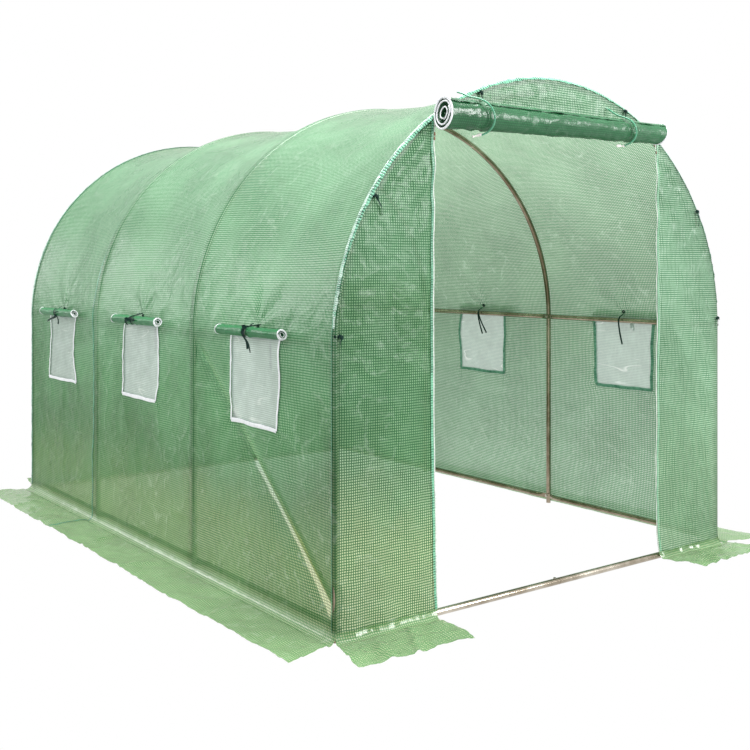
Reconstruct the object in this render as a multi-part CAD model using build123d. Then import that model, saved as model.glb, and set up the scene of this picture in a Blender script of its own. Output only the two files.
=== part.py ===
from build123d import *
import math
import os

# Walk-in polytunnel greenhouse: four galvanised hoops joined by rails, under a
# reinforced polyethylene cover with a roll-up door and six net windows.
# Origin: centre of the footprint at ground level.  +X right, +Y to the rear, +Z up.
# All sizes in millimetres.

# ---------------------------------------------------------------- frame sizes
HALF_W = 1000.0          # hoop centre line, half width
LEG_H = 950.0            # straight leg height, where the arch springs
ARCH_RISE = 955.0        # arch centre line above the legs
TUBE_R = 11.0            # 22 mm tube
TUBE_WALL = 1.2
BAR_R = 12.5             # 25 mm ground bars
BRACE_R = 9.5            # 19 mm brace
BAY = (990.0, 990.0, 900.0)
Y0 = -sum(BAY) / 2.0
HOOP_Y = (Y0, Y0 + BAY[0], Y0 + BAY[0] + BAY[1], Y0 + sum(BAY))
RAIL_Z = 952.0
BASE_RAIL_Z = 37.0
LUG_T = 4.0              # flattened rail end
LUG_HALF = 11.0          # half width of the flattened rail end
BOLT_R = 3.0
BOLT_HOLE_R = 3.2

# ---------------------------------------------------------------- cover sizes
COVER_IN = 12.0          # inner face of the cover, outside the hoop centre line
COVER_T = 3.0            # cover thickness (stand-in for a 0.2 mm woven film)
SPLIT_Z = 1000.0         # side walls end and the roof begins
GAP = 0.4
DOOR_HALF = 600.0
DOOR_TOP = 1712.0
WIN_W = 350.0
WIN_Z = (635.0, 960.0)
WIN_Y = (Y0 + 505.0, Y0 + 1485.0, Y0 + 2425.0)
FLAP_R = 22.0            # rolled window flap
FLAP_LEN = 450.0
FLAP_Z = 976.0
FLAP_SHIFT = -15.0       # rolls sit a little towards the front of their windows
SKIRT_W = 225.0
SKIRT_FRONT = 245.0
ROLL_R_LEFT = 59.0       # rolled door, its looser left end
ROLL_R_RIGHT = 45.0
ROLL_X = (-612.0, 566.0)

os.makedirs("parts", exist_ok=True)


def save(name, shape):
    export_step(shape, os.path.join("parts", name + ".step"))


def box(x0, x1, y0, y1, z0, z1):
    return Pos((x0 + x1) / 2, (y0 + y1) / 2, (z0 + z1) / 2) * Box(x1 - x0, y1 - y0, z1 - z0)


def rod_x(x0, x1, y, z, r):
    return Pos((x0 + x1) / 2, y, z) * Rot(0, 90, 0) * Cylinder(r, x1 - x0)


def rod_y(y0, y1, x, z, r):
    return Pos(x, (y0 + y1) / 2, z) * Rot(90, 0, 0) * Cylinder(r, y1 - y0)


def rod_z(z0, z1, x, y, r):
    return Pos(x, y, (z0 + z1) / 2) * Cylinder(r, z1 - z0)


def group(solids):
    out = []
    for s in solids:
        out.extend(s.solids())
    return Compound(children=out) if len(out) > 1 else out[0]


# ---------------------------------------------------------------- hoops
# A hoop comes in lengths that butt together: two legs, two bows a side, and a
# short ridge piece that takes the ridge bolt.  Angles are the bow's own, in
# degrees from the right springing.
LEG_JOINT = 4.0
BOW_JOINTS = (4.0, 45.0, 80.0, 100.0, 135.0, 176.0)


def bow_edge(y, start, end):
    return Edge.make_ellipse(HALF_W, ARCH_RISE, Plane(origin=(0, y, LEG_H), x_dir=(1, 0, 0), z_dir=(0, -1, 0)), start, end)


def tube_along(path):
    start = Plane(origin=path @ 0, x_dir=(0, 1, 0), z_dir=path % 0)
    return sweep(start * Circle(TUBE_R), path=path) - sweep(start * Circle(TUBE_R - TUBE_WALL), path=path)


def hoop(y, brace_z=None):
    """The lengths of one hoop; brace_z is the height of a brace's bolt in the left leg."""
    leg = tube_along(Wire([Edge.make_line((HALF_W, y, 0), (HALF_W, y, LEG_H)), bow_edge(y, 0, LEG_JOINT)]))
    for z in (RAIL_Z, BASE_RAIL_Z):
        leg -= rod_x(985, 1015, y, z, BOLT_HOLE_R)
    left = mirror(leg, about=Plane.YZ)
    if brace_z is not None:
        left -= rod_x(-1015, -985, y, brace_z, BOLT_HOLE_R)
    lengths = [left, leg]
    top = LEG_H + ARCH_RISE
    for start, end in zip(BOW_JOINTS[:-1], BOW_JOINTS[1:]):
        tube = tube_along(bow_edge(y, start, end))
        if start < 90 < end:
            tube -= rod_z(top - 20, top + 20, 0, y, BOLT_HOLE_R)
        lengths.append(tube)
    return Compound(children=[s for piece in lengths for s in piece.solids()])


# the brace is bolted to the front hoop and to the second hoop on the left
BRACE_A = (HOOP_Y[0], 80.0)
BRACE_B = (HOOP_Y[1], 918.0)

hoop_names = ("hoop_front", "hoop_mid_front", "hoop_mid_rear", "hoop_rear")
for name, y, brace_z in zip(hoop_names, HOOP_Y, (BRACE_A[1], BRACE_B[1], None, None)):
    save(name, hoop(y, brace_z))

# ---------------------------------------------------------------- rails
# A rail runs inside the hoops.  At each hoop it is pressed flat and bolted.
LUG_FACE = HALF_W - TUBE_R - 0.2     # just inside the hoop's inner face
LUG_X = LUG_FACE - LUG_T / 2         # middle of the flattened part
RAIL_X = LUG_FACE - TUBE_R           # middle of the round part
FLAT = 24.0                          # flat length each side of the bolt
TAPER = 34.0


def taper(s, y_flat, y_round, z):
    flat = Plane(origin=(s * LUG_X, y_flat, z), x_dir=(1, 0, 0), z_dir=(0, 1, 0)) * RectangleRounded(LUG_T, 2 * LUG_HALF, 1.5)
    tube = Plane(origin=(s * RAIL_X, y_round, z), x_dir=(1, 0, 0), z_dir=(0, 1, 0)) * Circle(TUBE_R)
    return loft([flat.face(), tube.face()])


def rail(s, z):
    shape = None
    for i, y in enumerate(HOOP_Y):
        lo = y - (FLAT if i > 0 else 11)
        hi = y + (FLAT if i < 3 else 11)
        piece = box(s * LUG_X - LUG_T / 2, s * LUG_X + LUG_T / 2, lo, hi, z - LUG_HALF, z + LUG_HALF)
        shape = piece if shape is None else shape + piece
        if i > 0:
            shape += taper(s, y - FLAT, y - FLAT - TAPER, z)
        if i < 3:
            shape += taper(s, y + FLAT, y + FLAT + TAPER, z)
            shape += rod_y(y + FLAT + TAPER, HOOP_Y[i + 1] - FLAT - TAPER, s * RAIL_X, z, TUBE_R)
    for y in HOOP_Y:
        shape -= rod_x(min(s * 975, s * 995), max(s * 975, s * 995), y, z, BOLT_HOLE_R)
    return shape


save("side_rail_left", rail(-1, RAIL_Z))
save("side_rail_right", rail(1, RAIL_Z))
save("base_rail_left", rail(-1, BASE_RAIL_Z))
save("base_rail_right", rail(1, BASE_RAIL_Z))

# ridge rail: one straight open-ended tube bolted up under the hoops
RIDGE_Z = LEG_H + ARCH_RISE - 2 * TUBE_R
ridge = rod_y(HOOP_Y[0] - 9, HOOP_Y[3] + 9, 0, RIDGE_Z, TUBE_R) - rod_y(HOOP_Y[0] - 12, HOOP_Y[3] + 12, 0, RIDGE_Z, TUBE_R - TUBE_WALL)
for y in HOOP_Y:
    ridge -= rod_z(RIDGE_Z - 15, RIDGE_Z + 15, 0, y, BOLT_HOLE_R)
save("ridge_rail", ridge)


# ground bars between the feet of the end hoops, each a pair of tubes joined midway
def ground_bar(y):
    end = HALF_W - 2.0
    bar = rod_x(-end, end, y, BAR_R, BAR_R) - rod_x(-end - 1, end + 1, y, BAR_R, BAR_R - TUBE_WALL)
    for s in (-1, 1):
        bar -= rod_z(-5, 40, s * HALF_W, y, TUBE_R + 1.2)
    # the joint: a pressed ring and its bolt hole
    ring = rod_x(24, 26, y, BAR_R, BAR_R + 1) - rod_x(23, 27, y, BAR_R, BAR_R - 0.6)
    bar -= ring
    bar -= rod_z(BAR_R, 2 * BAR_R + 5, 8, y, BOLT_HOLE_R)
    return bar.solids().sort_by(lambda s: s.volume)[-1]


save("threshold_bar", ground_bar(HOOP_Y[0] + 1.0))
save("rear_base_bar", ground_bar(HOOP_Y[3] - 1.0))


# diagonal brace in the left wall's front bay, pressed flat at both ends
def brace():
    dy, dz = BRACE_B[0] - BRACE_A[0], BRACE_B[1] - BRACE_A[1]
    length = math.hypot(dy, dz)
    t = Vector(0, dy / length, dz / length)
    a = Vector(-LUG_X, BRACE_A[0], BRACE_A[1])
    b = Vector(-LUG_X, BRACE_B[0], BRACE_B[1])
    flat_plane = lambda p: Plane(origin=p, x_dir=(1, 0, 0), z_dir=t)
    cx = (LUG_FACE - BRACE_R) - LUG_X    # round part's middle, towards the inside
    shape = None
    for p, sign in ((a, 1.0), (b, -1.0)):
        mid = p + t * (sign * 8.0)
        lug = flat_plane(mid) * Box(LUG_T, 15.0, 28.0)
        flat = (flat_plane(p + t * (sign * 22.0)) * RectangleRounded(LUG_T, 15.0, 1.5)).face()
        tube = (flat_plane(p + t * (sign * 52.0) + Vector(-cx, 0, 0)) * Circle(BRACE_R)).face()
        piece = lug + loft([flat, tube])
        shape = piece if shape is None else shape + piece
    m = (a + b) * 0.5 + Vector(-cx, 0, 0)
    shape += flat_plane(m) * Cylinder(BRACE_R, length - 104.0)
    for p in (a, b):
        shape -= rod_x(-995, -975, p.Y, p.Z, BOLT_HOLE_R)
    return shape


save("corner_brace", brace())


# ---------------------------------------------------------------- bolts
def bolt_side(s, y, z):
    head_in = LUG_FACE - LUG_T
    shank = rod_x(min(s * (head_in - 2), s * (HALF_W + TUBE_R - 0.5)), max(s * (head_in - 2), s * (HALF_W + TUBE_R - 0.5)), y, z, BOLT_R)
    washer = rod_x(min(s * (head_in - 1.2), s * head_in), max(s * (head_in - 1.2), s * head_in), y, z, 8.0)
    head = rod_x(min(s * (head_in - 5.2), s * (head_in - 1.2)), max(s * (head_in - 5.2), s * (head_in - 1.2)), y, z, 5.5)
    return shank + washer + head


bolts = []
for y in HOOP_Y:
    for z in (RAIL_Z, BASE_RAIL_Z):
        for s in (-1, 1):
            bolts.append(bolt_side(s, y, z))
    low = RIDGE_Z - TUBE_R
    bolts.append(rod_z(low - 1, RIDGE_Z + 3 * TUBE_R - 0.5, 0, y, BOLT_R)
                 + rod_z(low - 1.2, low, 0, y, 7.0) + rod_z(low - 5.2, low - 1.2, 0, y, 5.5))
for by, bz in (BRACE_A, BRACE_B):
    bolts.append(bolt_side(-1, by, bz))
for y in (HOOP_Y[0] + 1.0, HOOP_Y[3] - 1.0):
    bolts.append(rod_z(BAR_R + 6, 2 * BAR_R + 1, 8, y, BOLT_R) + rod_z(2 * BAR_R + 0.4, 2 * BAR_R + 4, 8, y, 5.5))
save("frame_bolts", group(bolts))


# ---------------------------------------------------------------- cover
OUT_A, OUT_B = HALF_W + COVER_IN + COVER_T, ARCH_RISE + COVER_IN + COVER_T
IN_A, IN_B = HALF_W + COVER_IN, ARCH_RISE + COVER_IN
FRONT_Y = HOOP_Y[0] - COVER_IN - COVER_T     # outer face of the front
REAR_Y = HOOP_Y[3] + COVER_IN + COVER_T      # outer face of the rear


def profile(a, b, y):
    """Tunnel cross-section as a face, its normal along -Y."""
    left = Edge.make_line((-a, y, 0), (-a, y, LEG_H))
    arc = Edge.make_ellipse(a, b, Plane(origin=(0, y, LEG_H), x_dir=(1, 0, 0), z_dir=(0, -1, 0)), 0, 180)
    right = Edge.make_line((a, y, LEG_H), (a, y, 0))
    base = Edge.make_line((a, y, 0), (-a, y, 0))
    return Face(Wire([left, arc, right, base]))


def prism(a, b, y_from, y_to):
    f = profile(a, b, y_from)
    return extrude(f, amount=y_to - y_from, dir=(0, 1, 0))


shell = prism(OUT_A, OUT_B, FRONT_Y, REAR_Y) - prism(IN_A, IN_B, FRONT_Y - 10, REAR_Y + 10)
roof = shell & box(-1100, 1100, FRONT_Y - 5, REAR_Y + 5, SPLIT_Z + GAP, 2100)
save("cover_roof", roof)
for side, s in (("left", -1), ("right", 1)):
    wall = shell & box(min(s * 1100, s * 900), max(s * 1100, s * 900), FRONT_Y - 5, REAR_Y + 5, -5, SPLIT_Z)
    for wy in WIN_Y:
        wall -= box(min(s * 1100, s * 900), max(s * 1100, s * 900), wy - WIN_W / 2, wy + WIN_W / 2, WIN_Z[0], WIN_Z[1])
    save("cover_wall_" + side, wall)

gable = prism(IN_A - GAP, IN_B - GAP, FRONT_Y, FRONT_Y + COVER_T)
save("front_panel_left", gable & box(-1100, -DOOR_HALF, FRONT_Y - 5, FRONT_Y + 10, 0, 2100))
save("front_panel_right", gable & box(DOOR_HALF, 1100, FRONT_Y - 5, FRONT_Y + 10, 0, 2100))
save("front_panel_top", gable & box(-DOOR_HALF + GAP, DOOR_HALF - GAP, FRONT_Y - 5, FRONT_Y + 10, DOOR_TOP, 2100))
save("rear_panel", prism(IN_A - GAP, IN_B - GAP, REAR_Y - COVER_T, REAR_Y))


# ---------------------------------------------------------------- skirts
def flat_sheet(points, t=COVER_T):
    face = Face(Wire.make_polygon([Vector(x, y, 0) for x, y in points], close=True))
    return extrude(face, amount=t, dir=(0, 0, 1))


wall_out = OUT_A + GAP
for side, s in (("left", -1), ("right", 1)):
    save("skirt_" + side, flat_sheet([
        (s * wall_out, FRONT_Y + 20), (s * (wall_out + SKIRT_W), FRONT_Y - 75),
        (s * (wall_out + SKIRT_W), REAR_Y + 20), (s * wall_out, REAR_Y - 20)]))
    save("skirt_front_" + side, flat_sheet([
        (s * (OUT_A - 4), FRONT_Y - GAP), (s * (OUT_A + 85), FRONT_Y - GAP - SKIRT_FRONT),
        (s * (DOOR_HALF + 60), FRONT_Y - GAP - SKIRT_FRONT), (s * (DOOR_HALF - 15), FRONT_Y - GAP)]))
save("skirt_rear", flat_sheet([
    (-(OUT_A - 10), REAR_Y + GAP), (-(OUT_A - 60), REAR_Y + GAP + SKIRT_FRONT),
    (OUT_A - 60, REAR_Y + GAP + SKIRT_FRONT), (OUT_A - 10, REAR_Y + GAP)]))

# ---------------------------------------------------------------- rolled door
ROLL_GAP = 0.5


def roll_centre(x):
    """Middle (y, z) and radius of the roll at x; its top stays level."""
    k = (x - ROLL_X[0]) / (ROLL_X[1] - ROLL_X[0])
    r = ROLL_R_LEFT + (ROLL_R_RIGHT - ROLL_R_LEFT) * k
    return FRONT_Y - ROLL_GAP - r, 1787.0 - r, r


ends = []
for x in ROLL_X:
    cy, cz, r = roll_centre(x)
    ends.append((Plane(origin=(x, cy, cz), x_dir=(0, 1, 0), z_dir=(1, 0, 0)) * Circle(r)).face())
save("door_roll", loft(ends))


# the two cords that hold the roll up: each comes out of the front panel above the roll, passes over
# the roll and down its front, and ends in a hook under it
CORD_R = 3.2             # roll cord
TIE_ROUTES = {
    "left": [(-497.0, -1457.0, 1818.0), (-490.0, -1476.0, 1811.0), (-479.0, -1498.0, 1797.5), (-463.0, -1529.0, 1791.0),
             (-447.0, -1557.2, 1774.7), (-434.0, -1573.0, 1748.5), (-426.0, -1574.7, 1719.0), (-424.0, -1563.0, 1692.0),
             (-430.0, -1540.0, 1672.5), (-439.0, -1519.5, 1665.5)],
    "right": [(275.0, -1457.0, 1830.5), (279.0, -1466.0, 1827.5), (296.0, -1487.0, 1804.0), (313.0, -1512.8, 1792.4),
              (326.0, -1538.2, 1780.5), (336.0, -1554.2, 1757.6), (342.0, -1556.7, 1729.7), (343.0, -1544.8, 1704.3),
              (336.0, -1525.5, 1688.0), (325.0, -1507.5, 1682.0)],
}


def cord(points, radius):
    """A tube along straight runs joined by arcs as large as the runs allow."""
    pts = [Vector(*q) for q in points]
    radii = []
    for p0, p1, p2 in zip(pts[:-2], pts[1:-1], pts[2:]):
        turn = math.radians((p1 - p0).get_angle(p2 - p1))
        radii.append(0.45 * min((p1 - p0).length, (p2 - p1).length) / math.tan(turn / 2))
    print("cord radii", [round(v, 1) for v in radii])
    path = FilletPolyline(*pts, radius=radii)
    start = Plane(origin=pts[0], z_dir=(pts[1] - pts[0]).normalized())
    tube = sweep(start * Circle(radius), path=path)
    print("cord length", round(path.length, 1), "volume ratio", round(tube.volume / (math.pi * radius ** 2 * path.length), 4))
    return tube


for side in ("left", "right"):
    save("door_tie_" + side, cord(TIE_ROUTES[side], CORD_R))
save("door_tie_hooks", group([rod_x(-474.0, -432.0, -1512.0, 1664.0, 3.6), rod_x(290.0, 332.0, -1500.5, 1681.0, 3.6)]))

# zip tapes down both edges of the doorway
for side, s in (("left", -1), ("right", 1)):
    x0, x1 = sorted((s * (DOOR_HALF - 12), s * (DOOR_HALF + 12)))
    save("door_zip_" + side, box(x0, x1, FRONT_Y - GAP - 1.6, FRONT_Y - GAP, 6, DOOR_TOP - 12))

# ---------------------------------------------------------------- windows
ribbons = {"left": [], "right": []}
for side, s in (("left", -1), ("right", 1)):
    for place, wy in zip(("front", "mid", "rear"), WIN_Y):
        x0, x1 = sorted((s * (OUT_A - 0.6), s * (OUT_A - 2.4)))
        save("window_net_%s_%s" % (side, place),
             box(x0, x1, wy - WIN_W / 2 + GAP, wy + WIN_W / 2 - GAP, WIN_Z[0] + GAP, WIN_Z[1] - GAP))
        fx = s * (OUT_A + GAP + FLAP_R)
        fy = wy + FLAP_SHIFT
        save("window_flap_%s_%s" % (side, place), rod_y(fy - FLAP_LEN / 2, fy + FLAP_LEN / 2, fx, FLAP_Z, FLAP_R))
        # ribbon round the rolled flap, with its hanging tail
        ry = wy - 8.0
        ring = Pos(fx, ry, FLAP_Z) * Rot(90, 0, 0) * (Cylinder(FLAP_R + 2.4, 10.0) - Cylinder(FLAP_R + 0.4, 12.0))
        x0, x1 = sorted((s * (OUT_A + 1.0), s * (OUT_A + 80.0)))
        ring = ring & box(x0, x1, ry - 20, ry + 20, FLAP_Z - 60, FLAP_Z + 60)
        x0, x1 = sorted((s * (OUT_A + 2 * FLAP_R + 1.2), s * (OUT_A + 2 * FLAP_R + 2.8)))
        tail = box(x0, x1, ry - 5, ry + 5, FLAP_Z - 84, FLAP_Z)
        ribbons[side].append(ring + tail)
    save("window_ties_" + side, group(ribbons[side]))

# ---------------------------------------------------------------- ties
# short ribbons that tie the cover to the end hoops
ties = []
for s in (-1, 1):
    for deg in (2.0, 31.0, 67.0):
        a = math.radians(deg)
        x = s * (HALF_W - 40) * math.cos(a)
        z = LEG_H + (ARCH_RISE - 40) * math.sin(a)
        ties.append(box(x - 9, x + 9, HOOP_Y[0] + 13, HOOP_Y[0] + 17, z - 22, z + 22))
        ties.append(box(x - 9, x + 9, HOOP_Y[3] - 17, HOOP_Y[3] - 13, z - 22, z + 22))
# and a looped ribbon round each front foot
for s in (-1, 1):
    x = s * (HALF_W - 30)
    ties.append(box(x - 6, x + 6, HOOP_Y[0] + 14, HOOP_Y[0] + 17, 62, 178))
save("cover_ties", group(ties))
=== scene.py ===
import math

import bpy
import numpy as np
from mathutils import Matrix, Vector


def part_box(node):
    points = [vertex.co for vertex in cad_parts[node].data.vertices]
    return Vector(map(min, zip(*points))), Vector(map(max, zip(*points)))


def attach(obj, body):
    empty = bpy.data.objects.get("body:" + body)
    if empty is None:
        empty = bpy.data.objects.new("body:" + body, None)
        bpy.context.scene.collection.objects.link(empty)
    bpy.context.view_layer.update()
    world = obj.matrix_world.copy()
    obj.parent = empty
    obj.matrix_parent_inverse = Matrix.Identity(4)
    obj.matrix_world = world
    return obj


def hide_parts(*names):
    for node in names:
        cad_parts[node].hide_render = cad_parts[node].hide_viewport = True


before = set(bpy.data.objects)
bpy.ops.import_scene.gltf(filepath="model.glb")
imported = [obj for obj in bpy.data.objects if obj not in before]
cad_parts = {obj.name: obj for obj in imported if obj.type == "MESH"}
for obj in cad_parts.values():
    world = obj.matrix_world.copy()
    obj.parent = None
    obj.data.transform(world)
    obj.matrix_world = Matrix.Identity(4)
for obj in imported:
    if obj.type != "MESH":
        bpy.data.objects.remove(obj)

# ------------------------------------------------------------------ sizes
# The object's own layout, in metres, read from the frame's pieces.
HOOPS = ("hoop_front", "hoop_mid_front", "hoop_mid_rear", "hoop_rear")
HOOP_Y = [(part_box(n)[0].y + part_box(n)[1].y) / 2 for n in HOOPS]
hb0, hb1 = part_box("hoop_front")
TUBE_R = (hb1.y - hb0.y) / 2
HALF_W = hb1.x - TUBE_R
TOP_Z = hb1.z - TUBE_R
LEG_H = 0.950
RISE = TOP_Z - LEG_H
SKIN = TUBE_R + 0.0012            # the film, outside the hoops' centre line
FRONT_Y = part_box("front_panel_top")[0].y
REAR_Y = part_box("rear_panel")[1].y
DOOR_HALF = -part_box("front_panel_left")[1].x
DOOR_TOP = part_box("front_panel_top")[0].z
RAIL_Z = (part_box("side_rail_left")[0].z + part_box("side_rail_left")[1].z) / 2
SKIRT_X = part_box("skirt_right")[1].x
WIN = {}
for side in ("left", "right"):
    for place in ("front", "mid", "rear"):
        lo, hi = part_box("window_net_%s_%s" % (side, place))
        WIN[side, place] = (lo.y, hi.y, lo.z, hi.z)

# ------------------------------------------------------------------ noise
def _hash_grid(seed, n=256):
    r = np.random.default_rng(seed)
    a = r.uniform(0, 2 * math.pi, (n, n))
    return np.cos(a), np.sin(a)


_grids = {}


def perlin(x, y, seed=0):
    """Gradient noise, about -0.7 to 0.7, on arrays."""
    if seed not in _grids:
        _grids[seed] = _hash_grid(seed + 1000)
    gx, gy = _grids[seed]
    x = np.asarray(x, float) + 57.3
    y = np.asarray(y, float) + 91.7
    xi, yi = np.floor(x).astype(int), np.floor(y).astype(int)
    xf, yf = x - xi, y - yi
    u, v = xf * xf * xf * (xf * (xf * 6 - 15) + 10), yf * yf * yf * (yf * (yf * 6 - 15) + 10)

    def g(ix, iy, dx, dy):
        a, b = ix % 256, iy % 256
        return gx[a, b] * dx + gy[a, b] * dy

    n00, n10 = g(xi, yi, xf, yf), g(xi + 1, yi, xf - 1, yf)
    n01, n11 = g(xi, yi + 1, xf, yf - 1), g(xi + 1, yi + 1, xf - 1, yf - 1)
    return (n00 * (1 - u) + n10 * u) * (1 - v) + (n01 * (1 - u) + n11 * u) * v


def fbm(x, y, seed=0, octaves=3, gain=0.5):
    t, a, f = 0.0, 1.0, 1.0
    for o in range(octaves):
        t = t + a * perlin(x * f, y * f, seed + 17 * o)
        a *= gain
        f *= 2.03
    return t


def crumple(x, y, seed=0, octaves=3, gain=0.55, turn=0.9):
    """Sharp folds such as a creased film has: sums of folded noise, turned from octave to octave."""
    t, a, f, ang = 0.0, 1.0, 1.0, 0.4
    for o in range(octaves):
        c, s = math.cos(ang), math.sin(ang)
        n = perlin((x * c + y * s) * f, (-x * s + y * c) * f, seed + 31 * o)
        t = t + a * (0.35 - np.abs(n)) * 1.6
        a *= gain
        f *= 2.1
        ang += turn
    return t


def smooth(t, a, b):
    k = np.clip((t - a) / (b - a), 0, 1)
    return k * k * (3 - 2 * k)


# ------------------------------------------------------------------ mesh helpers
def finish_piece(obj, replaced=()):
    bpy.context.scene.collection.objects.link(obj)
    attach(obj, "root")
    if replaced:
        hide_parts(*replaced)
    return obj


def mesh_from(name, verts, faces, uvs=None, mats=(), mat_index=None, smooth_shade=True):
    me = bpy.data.meshes.new(name)
    me.from_pydata(np.asarray(verts, float).reshape(-1, 3).tolist(), [], [tuple(int(i) for i in f) for f in faces])
    if smooth_shade:
        me.shade_smooth()
    else:
        me.shade_flat()
    if uvs is not None:
        layer = me.uv_layers.new(name="cloth")
        uvs = np.asarray(uvs, float).reshape(-1, 2)
        loops = np.zeros(len(me.loops), np.int32)
        me.loops.foreach_get("vertex_index", loops)
        layer.data.foreach_set("uv", uvs[loops].ravel())
    for m in mats:
        me.materials.append(m)
    if mat_index is not None:
        me.polygons.foreach_set("material_index", np.asarray(mat_index, np.int32))
    me.validate(clean_customdata=False)
    me.update()
    return bpy.data.objects.new(name, me)


class Sheet:
    """Several grids gathered into one mesh."""

    def __init__(self):
        self.v, self.f, self.uv, self.m = [], [], [], []
        self.n = 0

    def grid(self, P, UV, keep=None, mat=0, flip=False, cell_mat=None):
        """P is (rows, columns, 3); keep marks the cells that stay."""
        P, UV = np.asarray(P, float), np.asarray(UV, float)
        a, b = P.shape[:2]
        idx = self.n + np.arange(a * b).reshape(a, b)
        q = np.stack([idx[:-1, :-1], idx[:-1, 1:], idx[1:, 1:], idx[1:, :-1]], -1)
        if flip:
            q = q[..., ::-1]
        cm = np.full(q.shape[:2], mat) if cell_mat is None else cell_mat
        if keep is not None:
            q, cm = q[keep], cm[keep]
        else:
            q, cm = q.reshape(-1, 4), cm.reshape(-1)
        self.v.append(P.reshape(-1, 3))
        self.uv.append(UV.reshape(-1, 2))
        self.f.append(q.reshape(-1, 4))
        self.m.append(cm.reshape(-1))
        self.n += a * b
        return idx

    def build(self, name, mats, weld=0.0):
        v, uv = np.concatenate(self.v), np.concatenate(self.uv)
        f, m = np.concatenate(self.f), np.concatenate(self.m)
        if weld:
            key = np.round(v / weld).astype(np.int64)
            _, first, inv = np.unique(key, axis=0, return_index=True, return_inverse=True)
            inv = inv.reshape(-1)
            # welded vertices keep the first one's place; UVs stay per loop
            me_v = v[first]
            f2 = inv[f]
            good = np.array([len(set(r)) >= 3 for r in f2.tolist()])
            loop_uv = uv[f[good]]
            f2, m = f2[good], m[good]
            faces = []
            keep_uv = []
            for r, l in zip(f2.tolist(), loop_uv):
                out, lu = [], []
                for k, i in enumerate(r):
                    if i not in out:
                        out.append(i)
                        lu.append(l[k])
                faces.append(out)
                keep_uv.extend(lu)
            used = np.zeros(len(me_v), bool)
            used[np.concatenate([np.array(x) for x in faces])] = True
            remap = np.cumsum(used) - 1
            faces = [[int(remap[i]) for i in x] for x in faces]
            me = bpy.data.meshes.new(name)
            me.from_pydata(me_v[used].tolist(), [], faces)
            me.shade_smooth()
            layer = me.uv_layers.new(name="cloth")
            layer.data.foreach_set("uv", np.asarray(keep_uv, float).ravel())
        else:
            used = np.zeros(len(v), bool)
            used[f.ravel()] = True
            remap = np.cumsum(used) - 1
            me = bpy.data.meshes.new(name)
            me.from_pydata(v[used].tolist(), [], remap[f].tolist())
            me.shade_smooth()
            layer = me.uv_layers.new(name="cloth")
            layer.data.foreach_set("uv", uv[f].astype(float).ravel())
        for x in mats:
            me.materials.append(x)
        me.polygons.foreach_set("material_index", m.astype(np.int32))
        me.update()
        return bpy.data.objects.new(name, me)


# ------------------------------------------------------------------ materials
def new_mat(name):
    m = bpy.data.materials.new(name)
    m.use_nodes = True
    nt = m.node_tree
    nt.nodes.clear()
    out = nt.nodes.new("ShaderNodeOutputMaterial")
    return m, nt, out


class N:
    """A little sugar for node trees."""

    def __init__(self, nt):
        self.nt = nt

    def node(self, kind, **kw):
        n = self.nt.nodes.new(kind)
        for k, v in kw.items():
            setattr(n, k, v)
        return n

    def link(self, a, b):
        self.nt.links.new(a, b)

    def math(self, op, a, b=None, c=None, clamp=False):
        n = self.nt.nodes.new("ShaderNodeMath")
        n.operation = op
        n.use_clamp = clamp
        for i, x in enumerate((a, b, c)):
            if x is None:
                continue
            if isinstance(x, (int, float)):
                n.inputs[i].default_value = float(x)
            else:
                self.nt.links.new(x, n.inputs[i])
        return n.outputs[0]

    def ramp(self, fac, stops, interp="LINEAR"):
        n = self.nt.nodes.new("ShaderNodeValToRGB")
        n.color_ramp.interpolation = interp
        els = n.color_ramp.elements
        while len(els) < len(stops):
            els.new(0.5)
        for e, (p, c) in zip(els, stops):
            e.position = p
            e.color = (*c, 1.0) if len(c) == 3 else c
        self.nt.links.new(fac, n.inputs[0])
        return n.outputs[0]

    def maprange(self, v, a, b, c=0.0, d=1.0, kind="SMOOTHSTEP"):
        n = self.nt.nodes.new("ShaderNodeMapRange")
        n.interpolation_type = kind
        n.inputs["From Min"].default_value = a
        n.inputs["From Max"].default_value = b
        n.inputs["To Min"].default_value = c
        n.inputs["To Max"].default_value = d
        self.nt.links.new(v, n.inputs["Value"])
        return n.outputs["Result"]

    def mixc(self, fac, a, b, mode="MIX"):
        n = self.nt.nodes.new("ShaderNodeMix")
        n.data_type = "RGBA"
        n.blend_type = mode
        for key, x in ((0, fac), (6, a), (7, b)):
            if isinstance(x, (int, float)):
                n.inputs[key].default_value = float(x)
            elif isinstance(x, (tuple, list)):
                n.inputs[key].default_value = (*x, 1.0) if len(x) == 3 else tuple(x)
            else:
                self.nt.links.new(x, n.inputs[key])
        return n.outputs[2]

    def noise(self, vec, scale, detail=2.0, rough=0.5, dist=0.0, dims="3D"):
        n = self.nt.nodes.new("ShaderNodeTexNoise")
        n.noise_dimensions = dims
        n.inputs["Scale"].default_value = scale
        n.inputs["Detail"].default_value = detail
        n.inputs["Roughness"].default_value = rough
        n.inputs["Distortion"].default_value = dist
        if vec is not None:
            self.nt.links.new(vec, n.inputs["Vector"])
        return n.outputs[0]


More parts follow.
